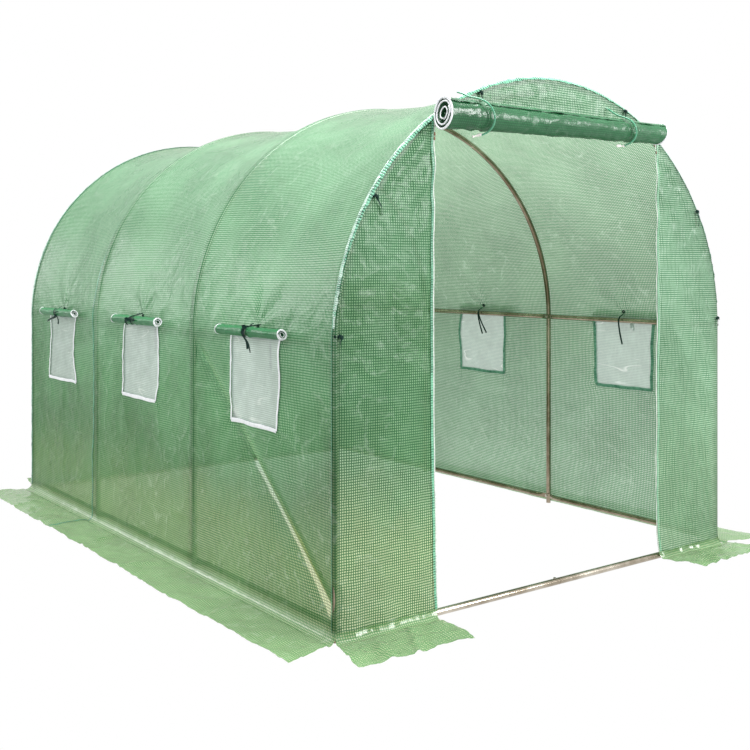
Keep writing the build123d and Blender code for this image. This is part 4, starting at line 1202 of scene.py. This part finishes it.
def rolled(name, length_axis, p0, p1, centre, radius, r_in, turns, steps, along, seed, mats, replaced, lip=0.0, slant=(0.0, 0.0),
           squeeze=(), wrinkle=1.0, binding=0.0024, binding_turns=1.6, pinch_ends=0.0, squash_near=0.0):
    """A sheet rolled up: a spiral section drawn out along an axis, its cut ends bound in tape.
    centre(t) and radius(t) follow the roll from p0 to p1, and squeeze lists (place, depth, reach) of its ties."""
    L = p1 - p0
    t = np.concatenate([np.linspace(0, 0.02, 4, endpoint=False), np.linspace(0.02, 0.98, along), np.linspace(0.98, 1, 4)[1:]])
    phi = np.linspace(0, turns * 2 * math.pi, int(turns * steps))
    T, PH = np.meshgrid(t, phi, indexing="xy")
    C = centre(T)                                   # (..., 2): across, up
    R = radius(T)
    k = PH / (turns * 2 * math.pi)                  # 0 inside, 1 outside
    r = r_in + (R - r_in) * k
    # the innermost edge folds across the hollow
    r = r * smooth(PH, -0.4, 1.9)
    outer = smooth(PH, (turns - 1.10) * 2 * math.pi, (turns - 0.95) * 2 * math.pi)
    a = PH - turns * 2 * math.pi + lip
    pos = p0 + T * L
    near_end = np.minimum(T, 1 - T) * L
    w = crumple(pos * 8.0, a * 0.9, seed, 3) * 0.12 + crumple(pos * 22.0, a * 1.6, seed + 1, 2) * 0.050
    w = w + 0.06 * np.maximum(0, perlin(pos * 34.0 + 0.7 * perlin(a * 2, pos, seed + 8), a * 0.5, seed + 9))
    w = w * wrinkle * (0.25 + 0.75 * smooth(near_end, 0.0, 0.05))
    for place, depth, reach in squeeze:
        q = (pos - place) / reach
        w = w + depth * np.exp(-q * q) - 0.55 * depth * np.exp(-((np.abs(q) - 1.9) / 0.7) ** 2) * (1 + 0.8 * np.cos(a * 5.0 + seed))
        w = w + 0.30 * depth * np.exp(-(q / 2.2) ** 2) * np.cos(a * 11.0 + 2.0 * q)
    r = r * (1 - outer * np.maximum(-0.035, w))
    r = r * (1 - pinch_ends * np.exp(-near_end / 0.02) * (0.5 + 0.5 * np.cos(2 * a + seed)))
    flat_k = 1.0 - squash_near * np.exp(-(T * L) / 0.10)
    across = C[..., 0] + r * np.cos(a) * flat_k
    up = C[..., 1] + r * np.sin(a)
    s0, s1 = slant
    shear = np.sin(a) * (s0 * np.exp(-T * L / 0.06) + s1 * np.exp(-(1 - T) * L / 0.06))
    wob = 0.0030 * perlin(PH * 0.8, T * 0 + 2.0, seed + 4) * (1 - smooth(near_end, 0.0, 0.08))
    if length_axis == "x":
        P = np.stack([pos + shear + wob, across, up], -1)
    else:
        P = np.stack([across, pos + shear + wob, up], -1)
    mid = len(t) // 2
    arc = np.concatenate([[0], np.cumsum(np.linalg.norm(np.diff(P[:, mid], axis=0), axis=1))])
    UV = np.stack([pos, np.broadcast_to(arc[:, None], pos.shape)], -1)
    sh = Sheet()
    sh.grid(P, UV, mat=0, flip=(length_axis == "x"))
    o = sh.build(name, [mats[0]])
    finish_piece(o, replaced)
    mod = o.modifiers.new("thickness", "SOLIDIFY")
    mod.thickness = 0.0010
    mod.offset = -1.0
    # white tape bound over the cut ends
    for tag, col in (("near", 0), ("far", -1)):
        m = PH[:, 0] > (turns - binding_turns) * 2 * math.pi
        edge = P[m, col]
        rad = np.full(len(edge), binding) * (0.9 + 0.25 * perlin(np.arange(len(edge)) * 0.21, np.zeros(len(edge)), seed + 12))
        b = tube_mesh("%s_binding_%s" % (name, tag), edge, rad, mats[1], sides=7)
        finish_piece(b, ())
        q = PH[:, 0] / (2 * math.pi)
        for j, (q0, q1) in enumerate(((0.30, 1.3), (turns * 0.50, turns * 0.50 + 1.15))):
            m2 = (q > q0) & (q < q1)
            b = tube_mesh("%s_binding_inner%d_%s" % (name, j, tag), P[m2, col], binding * (0.6, 0.8)[j], mats[1], sides=6)
            finish_piece(b, ())
    return o, float(arc[-1]), P, PH


def turns_for(length, r_in, radius):
    """Turns of an even spiral from r_in to radius that hold this length of film."""
    return length / (math.pi * (r_in + radius))


DOOR_CUT = DOOR_TOP - 0.012          # let down, the panel fills the doorway
lo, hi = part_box("door_roll")
R_L, R_R = 0.059, 0.045
BACK, TOP = hi.y, hi.z
TIE_X = (-0.450, 0.325)


def roll_centre(T):
    r = roll_radius(T)
    return np.stack([BACK - r, TOP - r], -1)


def roll_radius(T):
    return R_L + (R_R - R_L) * T - 0.001


o, arc, RP, RPH = rolled("door_rolled_up", "x", lo.x + 0.004, hi.x - 0.016, roll_centre, roll_radius, 0.017, turns_for(DOOR_CUT, 0.017, (R_L + R_R) / 2 - 0.001), 38, 116, 301,
                         [MAT_ROLL, MAT_WHITE], ("door_roll",), lip=2.3, slant=(0.004, 0.014),
                         squeeze=((TIE_X[0], 0.10, 0.016), (TIE_X[1], 0.12, 0.016)), binding=0.0042, binding_turns=1.15, squash_near=0.16, wrinkle=0.8)
for (side, place), (flo, fhi) in FLAP.items():
    s = -1 if side == "left" else 1
    cx, cz, rr = (flo.x + fhi.x) / 2, (flo.z + fhi.z) / 2, (fhi.z - flo.z) / 2 - 0.0010
    seed = 320 + hash_name(side + place)
    ry = (WIN[side, place][0] + WIN[side, place][1]) / 2 - 0.008
    cut = fhi.z - WIN[side, place][2] + 0.030     # let down, the flap reaches below the window's foot
    o, arc, _, _ = rolled("window_flap_roll_%s_%s" % (side, place), "y", flo.y + 0.003, fhi.y - 0.003,
                          lambda T, cx=cx, cz=cz: np.stack([np.full_like(T, cx), np.full_like(T, cz)], -1),
                          lambda T, rr=rr: rr * np.ones_like(T), 0.006, turns_for(cut, 0.006, rr), 26, 52, seed,
                          [MAT_FLAP, MAT_WHITE], ("window_flap_%s_%s" % (side, place),), lip=1.5 if s > 0 else 4.8,
                          slant=(0.004, -0.004), squeeze=((ry, 0.16, 0.014),), wrinkle=1.25, binding=0.0021, binding_turns=1.25,
                          pinch_ends=0.22 if place == "rear" else 0.10)

# ------------------------------------------------------------------ windows
for (side, place), (wy0, wy1, wz0, wz1) in WIN.items():
    s = -1 if side == "left" else 1
    seed = 400 + hash_name(side + place)
    cz0, cz1 = wz0 - 0.004, wz1 + 0.006
    ys, zs = np.linspace(wy0 - 0.004, wy1 + 0.004, 40), np.linspace(cz0, cz1, 38)
    Zg, Yg = np.meshgrid(zs, ys, indexing="ij")
    surf = tunnel_points(s_on_wall(side, Zg), Yg.copy())
    fade = np.sin(np.pi * (Yg - ys[0]) / (ys[-1] - ys[0])) * np.sin(np.pi * (Zg - cz0) / (cz1 - cz0))
    bag = 0.0055 * (0.4 + fbm(Yg * 8, Zg * 8, seed, 2)) + 0.0022 * crumple(Yg * 17, Zg * 17, seed + 1, 2)
    # a slanting crease across the net
    q = (Yg - wy0) * 0.62 + (Zg - wz0) * 0.78 - (0.16 + 0.05 * perlin(Yg * 3, Zg * 3, seed))
    bag = bag + 0.0040 * np.exp(-np.abs(q) / 0.008)
    P = surf.copy()
    P[..., 0] = P[..., 0] - s * (0.0010 + bag * fade)
    sh = Sheet()
    sh.grid(P, np.stack([Yg, Zg], -1), mat=0, flip=(s > 0))
    o = sh.build("window_net_sheet_%s_%s" % (side, place), [MAT_NET if s < 0 else MAT_NET_SHADED_RIGHT])
    finish_piece(o, ("window_net_%s_%s" % (side, place),))

    # white fastening tape outside, stitched hem inside
    def frame_strip(name, lift, width, foot, mat, inner):
        sh = Sheet()
        top = wz1 - 0.004
        runs = [((wy0, top), (wy0, wz0), width), ((wy0, wz0), (wy1, wz0), foot), ((wy1, wz0), (wy1, top), width)]
        if inner:
            runs.append(((wy1, wz1 - 0.006), (wy0, wz1 - 0.006), width))
        for i, (a, b, w) in enumerate(runs):
            n = 48
            k = np.linspace(0, 1, n)
            y = a[0] + (b[0] - a[0]) * k
            z = a[1] + (b[1] - a[1]) * k
            horiz = abs(b[1] - a[1]) < 1e-6
            t = np.linspace(-0.5, 0.5, 5)
            wv = w * (1 + 0.20 * perlin(k * 6.0, k * 0 + i, seed + 21))
            if horiz:
                Y = np.broadcast_to(y[:, None], (n, 5)).copy()
                Zz = z[:, None] + t[None, :] * wv[:, None]
            else:
                Y = y[:, None] + t[None, :] * wv[:, None]
                Zz = np.broadcast_to(z[:, None], (n, 5)).copy()
            base = tunnel_points(s_on_wall(side, Zz), Y)
            base[..., 0] += s * (lift + 0.0009 * (1 - (2 * t) ** 2)[None, :] + (0.0006 * i if not inner else -0.0006 * i))
            ln = math.hypot(b[0] - a[0], b[1] - a[1])
            sh.grid(base, np.stack(np.broadcast_arrays((k * ln)[:, None], (t * w)[None, :]), -1), mat=0)
        o = sh.build(name, [mat])
        finish_piece(o, ())

    frame_strip("window_tape_%s_%s" % (side, place), 0.0036, 0.0105, 0.0150, MAT_WHITE, False)
    frame_strip("window_hem_%s_%s" % (side, place), -0.0045, 0.0150, 0.0150, MAT_WINHEM, True)


# ------------------------------------------------------------------ ribbons and ties
def smooth_line(pts, per=8):
    """A Catmull-Rom line through pts."""
    pts = np.asarray(pts, float)
    P = np.vstack([2 * pts[0] - pts[1], pts, 2 * pts[-1] - pts[-2]])
    out = []
    for i in range(1, len(P) - 2):
        for t in np.linspace(0, 1, per, endpoint=False):
            out.append(0.5 * ((2 * P[i]) + (-P[i - 1] + P[i + 1]) * t + (2 * P[i - 1] - 5 * P[i] + 4 * P[i + 1] - P[i + 2]) * t * t
                              + (-P[i - 1] + 3 * P[i] - 3 * P[i + 1] + P[i + 2]) * t ** 3))
    out.append(P[-2])
    return np.array(out)


def ribbon(name, pts, widths_dir, width, mat, replaced=(), twist=None):
    """A flat ribbon along a smooth line through pts, cupped a little across its width."""
    out = smooth_line(pts, 8 if len(pts) < 9 else 4)
    d = np.concatenate([[0], np.cumsum(np.linalg.norm(np.diff(out, axis=0), axis=1))])
    wd = np.asarray(widths_dir, float)
    wd = wd / np.linalg.norm(wd)
    tang = np.gradient(out, axis=0)
    tang /= np.linalg.norm(tang, axis=1)[:, None] + 1e-12
    W = wd[None, :] - tang * (tang @ wd)[:, None]
    W /= np.linalg.norm(W, axis=1)[:, None] + 1e-9
    if twist is not None:
        for i in range(len(out)):
            W[i] = Vector(W[i]) @ Matrix.Rotation(twist * d[i] / d[-1], 3, Vector(tang[i]))
    nrm = np.cross(tang, W)
    t = np.array([-0.5, -0.25, 0.0, 0.25, 0.5])
    G = out[:, None, :] + W[:, None, :] * (t[None, :, None] * width) + nrm[:, None, :] * ((0.25 - t * t)[None, :, None] * width * 0.28)
    UV = np.stack(np.broadcast_arrays(d[:, None], (t * width)[None, :]), -1)
    sh = Sheet()
    sh.grid(G, UV, mat=0)
    o = sh.build(name, [mat])
    finish_piece(o, replaced)
    declare(float(d[-1]))
    return o


def ring_points(r, a0, a1, n=22):
    a = np.linspace(a0, a1, n)
    return np.stack([r * np.cos(a), r * np.sin(a)], -1)


def eyelet(name, centre, normal, r=0.0055):
    """A small punched ring."""
    nv = Vector(normal).normalized()
    q = nv.to_track_quat("Z", "Y")
    pts = [Vector(centre) + q @ Vector((r * math.cos(a), r * math.sin(a), 0)) for a in np.linspace(0, 2 * math.pi, 19)]
    o = tube_mesh(name, [tuple(p) for p in pts], 0.0022, MAT_RIBBON, sides=7, up=normal)
    finish_piece(o, ())
    return o


# Where each left ribbon's knot sits and how its tails fall: offsets along Y and in height from the roll's centre (m).
KNOTS = {
    "front": dict(knot=(-0.006, 0.016), tails=[[(-0.004, 0.012), (-0.006, -0.010), (-0.014, -0.040), (-0.022, -0.074)], [(0.002, 0.012), (0.002, -0.008), (-0.002, -0.036), (-0.006, -0.062)]],
                  strand=(-0.050, 0.026), bow=0.013),
    "mid": dict(knot=(0.024, 0.000), tails=[[(0.020, 0.002), (-0.008, 0.008), (-0.034, 0.002), (-0.052, 0.006)], [(0.030, 0.000), (0.046, -0.008), (0.055, -0.024)]],
                strand=(-0.030, 0.030), bow=0.020),
    "rear": dict(knot=(-0.018, -0.018), tails=[[(-0.016, -0.018), (0.020, -0.026), (0.070, -0.034), (0.132, -0.050)], [(-0.022, -0.020), (-0.030, -0.040), (-0.022, -0.060)]],
                 strand=(-0.060, 0.020), bow=0.012),
}
for (side, place), (flo, fhi) in FLAP.items():
    s = -1 if side == "left" else 1
    cx, cz, rr = (flo.x + fhi.x) / 2, (flo.z + fhi.z) / 2, (fhi.z - flo.z) / 2
    wy0, wy1, wz0, wz1 = WIN[side, place]
    ry = (wy0 + wy1) / 2 - 0.008
    kn = KNOTS[place]
    # round the roll, from the eyelet above to under the roll
    pts = [(cx - s * 0.021, ry - 0.004, cz + rr + 0.008), (cx - s * 0.012, ry - 0.002, cz + rr + 0.003)]
    for a, b in ring_points(rr * 0.93 + 0.0010, 1.9, -1.5, 14):
        pts.append((cx + s * a, ry, cz + b))
    ribbon("window_ribbon_%s_%s" % (side, place), pts, (0, 1, 0), 0.0120, MAT_RIBBON, ("window_ties_" + side,))
    out_x = lambda dz: cx + s * (math.sqrt(max(0.0, (rr * 0.98) ** 2 - min(abs(dz), rr * 0.98) ** 2)) + 0.0045)
    ky, kz = kn["knot"]
    for i, line in enumerate(kn["tails"]):
        tail = [(out_x(dz) if dz > -rr else cx + s * (0.010 + 0.10 * (dz + rr)), ry + dy, cz + dz) for dy, dz in line]
        ribbon("ribbon_tail_%s_%s_%d" % (side, place, i), tail, (0.1 * s, 1, 0.3) if abs(line[-1][0] - line[0][0]) < 0.05 else (0, 0.1, 1), 0.0115, MAT_RIBBON, (),
               twist=0.25 * (1 if i else -1))
    # the knot, and a strand back to the eyelet
    b = kn["bow"]
    kx = out_x(kz)
    for j, (dy, dz, h) in enumerate(((0.0, 0.0, 0.015), (0.4, 0.12, 0.011), (-0.4, -0.1, 0.011))):
        loop = [(kx - s * 0.001, ry + ky + b * (dy - 0.45), cz + kz + b * (dz + 0.25)), (kx + s * 0.006, ry + ky + b * (dy - 0.1), cz + kz + b * (dz + 0.1)),
                (kx + s * 0.0065, ry + ky + b * (dy + 0.2), cz + kz + b * (dz - 0.1)), (kx + s * 0.001, ry + ky + b * (dy + 0.5), cz + kz + b * (dz - 0.3))]
        ribbon("ribbon_knot_%s_%s_%d" % (side, place, j), loop, (0, 0.3, 1), h, MAT_RIBBON, ())
    sy, sz = kn["strand"]
    st = [(kx, ry + ky, cz + kz), (out_x((kz + sz) / 2) + s * 0.001, ry + (ky + sy) / 2, cz + (kz + sz) / 2), (s * (A0 + 0.002), ry + sy, cz + sz)]
    ribbon("ribbon_strand_%s_%s" % (side, place), st, (0, 0.3, 1), 0.0045, MAT_RIBBON, ())
    ey = (s * (A0 + 0.0012), ry - 0.002 if place != "rear" else ry + 0.006, wz1 + 0.034)
    surf = tunnel_points(np.array([s_on_wall(side, ey[2])]), np.array([ey[1]]))[0]
    eyelet("eyelet_%s_%s" % (side, place), (surf[0] + s * 0.0015, surf[1], surf[2]), (s, 0, 0))
    # the ribbon's inner half hangs inside, over the rail
    ix = s * (HALF_W - 0.046)
    iy = (wy0 + wy1) / 2 - 0.010
    for i, (ln, sway) in enumerate(((0.118, -0.020), (0.112, -0.066))):
        if i == 1 and place != "mid":
            continue
        if place == "mid" and i == 0:
            sway = -0.034
        tail = [(s * (HALF_W + 0.004), iy, wz1 + 0.020), (s * (HALF_W - 0.020), iy, wz1 + 0.018), (ix, iy + sway * 0.1, wz1 - 0.004),
                (ix - s * 0.002, iy + sway * 0.5, wz1 - ln * 0.5), (ix + s * 0.004, iy + sway, wz1 - ln)]
        ribbon("ribbon_inside_%s_%s_%d" % (side, place, i), tail, (0, 1, 0), 0.0075, MAT_RIBBON, (), twist=0.9)
    eyelet("eyelet_inside_%s_%s" % (side, place), (surf[0] - s * 0.003, surf[1], surf[2]), (s, 0, 0), 0.0065)


def cord_curve(name, pts, radius, mat, replaced):
    cu = bpy.data.curves.new(name, "CURVE")
    cu.dimensions = "3D"
    cu.bevel_depth = radius
    cu.bevel_resolution = 3
    cu.use_fill_caps = True
    cu.resolution_u = 10
    sp = cu.splines.new("NURBS")
    sp.points.add(len(pts) - 1)
    for p, q in zip(sp.points, pts):
        p.co = (*q, 1.0)
    sp.order_u = 3
    sp.use_endpoint_u = True
    cu.materials.append(mat)
    o = bpy.data.objects.new(name, cu)
    finish_piece(o, replaced)
    return o


# the two cords round the door roll, each hooked over a small fish-shaped cleat
CORD_LEFT = [(-0.497, -1.457, 1.818), (-0.490, -1.476, 1.811), (-0.479, -1.498, 1.7975), (-0.463, -1.529, 1.791), (-0.447, -1.5572, 1.7747),
             (-0.434, -1.573, 1.7485), (-0.426, -1.5747, 1.719), (-0.424, -1.563, 1.692), (-0.430, -1.540, 1.6725), (-0.439, -1.5195, 1.6655)]
CORD_RIGHT = [(0.275, -1.457, 1.8305), (0.279, -1.466, 1.8275), (0.296, -1.487, 1.804), (0.313, -1.5128, 1.7924), (0.326, -1.5382, 1.7805),
              (0.336, -1.5542, 1.7576), (0.342, -1.5567, 1.7297), (0.343, -1.5448, 1.7043), (0.336, -1.5255, 1.688), (0.325, -1.5075, 1.682)]
for side, route, hook, length, tilt in (("left", CORD_LEFT, (-0.453, -1.512, 1.664), 0.265, -0.26), ("right", CORD_RIGHT, (0.311, -1.5005, 1.681), 0.241, -0.05)):
    o = cord_curve("door_tie_cord_" + side, route, 0.0032, MAT_CORD, ("door_tie_" + side,))
    prof = [(-1.0, 0.10, 0.0), (-0.97, 0.42, 0.0), (-0.80, 0.80, 0.0), (-0.45, 1.0, 0.0), (-0.10, 0.86, 0.0), (0.30, 0.52, 0.0), (0.55, 0.40, 0.0),
            (0.72, 0.62, 0.0), (0.90, 0.92, 0.0), (1.0, 0.60, 0.0), (1.02, 0.10, 0.0)]
    vs, fs = [], []
    m = 16
    half_bar, thick = 0.024, 0.0058
    rot = Matrix.Rotation(tilt, 3, "Y")
    sx = -1.0 if side == "left" else 1.0
    for (u, k, _) in prof:
        for j in range(m):
            b = 2 * math.pi * j / m
            notch = 1.0 - 0.30 * max(0.0, u - 0.6) * (1 + math.cos(2 * b))
            vs.append(Vector(hook) + rot @ Vector((sx * u * half_bar, thick * 0.62 * k * math.cos(b), thick * k * math.sin(b) * notch)))
    for a_ in range(len(prof) - 1):
        for j in range(m):
            fs.append((a_ * m + j, a_ * m + (j + 1) % m, (a_ + 1) * m + (j + 1) % m, (a_ + 1) * m + j))
    hk = mesh_from("door_tie_hook_" + side, [tuple(v) for v in vs], fs, [(v.x, v.z) for v in vs], [MAT_HOOK])
    finish_piece(hk, ("door_tie_hooks",))

# short ribbons that tie the cover to the end hoops, knotted on the inside of each tube, and at each foot
for end, (hy, out) in (("front", (HOOP_Y[0], -1)), ("rear", (HOOP_Y[3], 1))):
    for s in (-1, 1):
        for j, deg in enumerate((2.0, 31.0, 67.0)):
            a = math.radians(deg)
            px, pz = s * HALF_W * math.cos(a), LEG_H + RISE * math.sin(a)
            ux, uz = math.cos(a) * s, math.sin(a)
            r = TUBE_R + 0.0018
            pts = []
            for b in np.linspace(0.4, 2 * math.pi - 0.4, 12):
                pts.append((px + ux * r * math.cos(b), hy + r * math.sin(b) * -out, pz + uz * r * math.cos(b)))
            ribbon("tie_loop_%s_%d_%d" % (end, s + 1, j), pts, (-uz, 0, ux), 0.0105, MAT_RIBBON, ("cover_ties",))
            # the knot comes through the seam to the front
            kx, kz, ky = px - ux * 0.004, pz - uz * 0.004, (FRONT_Y - 0.0065) if out < 0 else (REAR_Y + 0.0065)
            for q in range(3):
                lp = [(kx - 0.008 + 0.003 * q, ky, kz + 0.006 - 0.004 * q), (kx - 0.002, ky + out * 0.004, kz + 0.003), (kx + 0.004, ky + out * 0.004, kz - 0.003 + 0.002 * q),
                      (kx + 0.010, ky, kz - 0.007 + 0.005 * q)]
                ribbon("tie_knot_%s_%d_%d_%d" % (end, s + 1, j, q), lp, (0.2, 0, 1), 0.0085, MAT_RIBBON, ())
            bx, bz = px - ux * (r + 0.006), pz - uz * (r + 0.006)
            ln = (0.020, 0.050, 0.060)[j]
            lean = (-0.018, 0.010, 0.006)[j] if s < 0 else (0.016, 0.020, 0.006)[j]
            y_t = (FRONT_Y - 0.0080) if out < 0 else (REAR_Y + 0.0080)
            tail = [(kx, ky, kz), (kx + lean * 0.5 - ux * 0.010, y_t, kz - ln * 0.35 - 0.004), (kx + lean * 1.0 - ux * 0.016, y_t, kz - ln * 0.8), (kx + lean - ux * 0.018, y_t, kz - ln - 0.012)]
            ribbon("tie_tail_%s_%d_%d" % (end, s + 1, j), tail, (1, 0, 0.2), 0.0075, MAT_RIBBON, (), twist=1.1)
        # the loop sewn to the foot, slack round the base rail
        bx = s * (HALF_W - 0.030)
        yb = hy - out * 0.016
        lp = [(bx, yb, 0.176), (bx - s * 0.010, yb - out * 0.010, 0.150), (bx - s * 0.016, yb - out * 0.016, 0.110), (bx - s * 0.004, yb - out * 0.016, 0.072),
              (bx + s * 0.012, yb - out * 0.010, 0.064), (bx + s * 0.016, yb - out * 0.006, 0.100), (bx + s * 0.008, yb - out * 0.004, 0.146)]
        ribbon("base_loop_%s_%d" % (end, s + 1), lp, (0.25 * s, 1, 0), 0.0085, MAT_RIBBON, ("cover_ties",), twist=0.6)

# ------------------------------------------------------------------ floor, light, camera
bpy.ops.mesh.primitive_plane_add(size=120.0, location=(0, 0, -0.0005))
floor = bpy.context.active_object
floor.name = "studio_floor"
fm, nt, out = new_mat("studio_floor")
g = N(nt)
em = g.node("ShaderNodeEmission")
em.inputs["Color"].default_value = (1.0, 1.0, 1.0, 1.0)
em.inputs["Strength"].default_value = 1.0
g.link(em.outputs[0], out.inputs["Surface"])
fm.cycles.emission_sampling = "NONE"
floor.data.materials.append(fm)

world = bpy.data.worlds.new("studio")
bpy.context.scene.world = world
world.use_nodes = True
bg = world.node_tree.nodes["Background"]
bg.inputs["Color"].default_value = (1.0, 1.0, 1.0, 1.0)
bg.inputs["Strength"].default_value = 1.0
world.cycles.sampling_method = "NONE"


def area(name, loc, target, size, power, colour=(1, 1, 1)):
    li = bpy.data.lights.new(name, "AREA")
    li.shape = "RECTANGLE"
    li.size, li.size_y = size
    li.energy = power
    li.color = colour
    ob = bpy.data.objects.new(name, li)
    bpy.context.scene.collection.objects.link(ob)
    ob.location = loc
    ob.rotation_euler = (Vector(target) - Vector(loc)).to_track_quat("-Z", "Y").to_euler()
    return ob


area("top", (0.0, -0.5, 6.0), (0, 0, 0.0), (4.5, 4.5), 690)
area("glint_left", (-4.5, 7.0, 3.0), (0, 0, 1.0), (1.4, 3.0), 110)
area("glint_right", (4.0, -7.0, 3.4), (0, 0, 1.0), (1.6, 3.0), 460)

sc = bpy.context.scene
sc.cycles.max_bounces = 7
sc.cycles.diffuse_bounces = 2
sc.cycles.glossy_bounces = 2
sc.cycles.transmission_bounces = 4
sc.cycles.transparent_max_bounces = 8

cam = bpy.data.cameras.new("camera")
cam.sensor_width = 36.0
cam.lens = 1049.35 * 36.0 / 750.0
cam.shift_x = 0.0
cam.shift_y = -(375.0 - 264.93) / 750.0
cam.clip_end = 200.0
co = bpy.data.objects.new("camera", cam)
bpy.context.scene.collection.objects.link(co)
co.location = (-2.9148, -2.7836 + HOOP_Y[0], 1.2143)
co.rotation_euler = (math.radians(90.0), 0.0, -math.radians(36.668))
bpy.context.scene.camera = co
bpy.context.scene.view_settings.view_transform = "Standard"
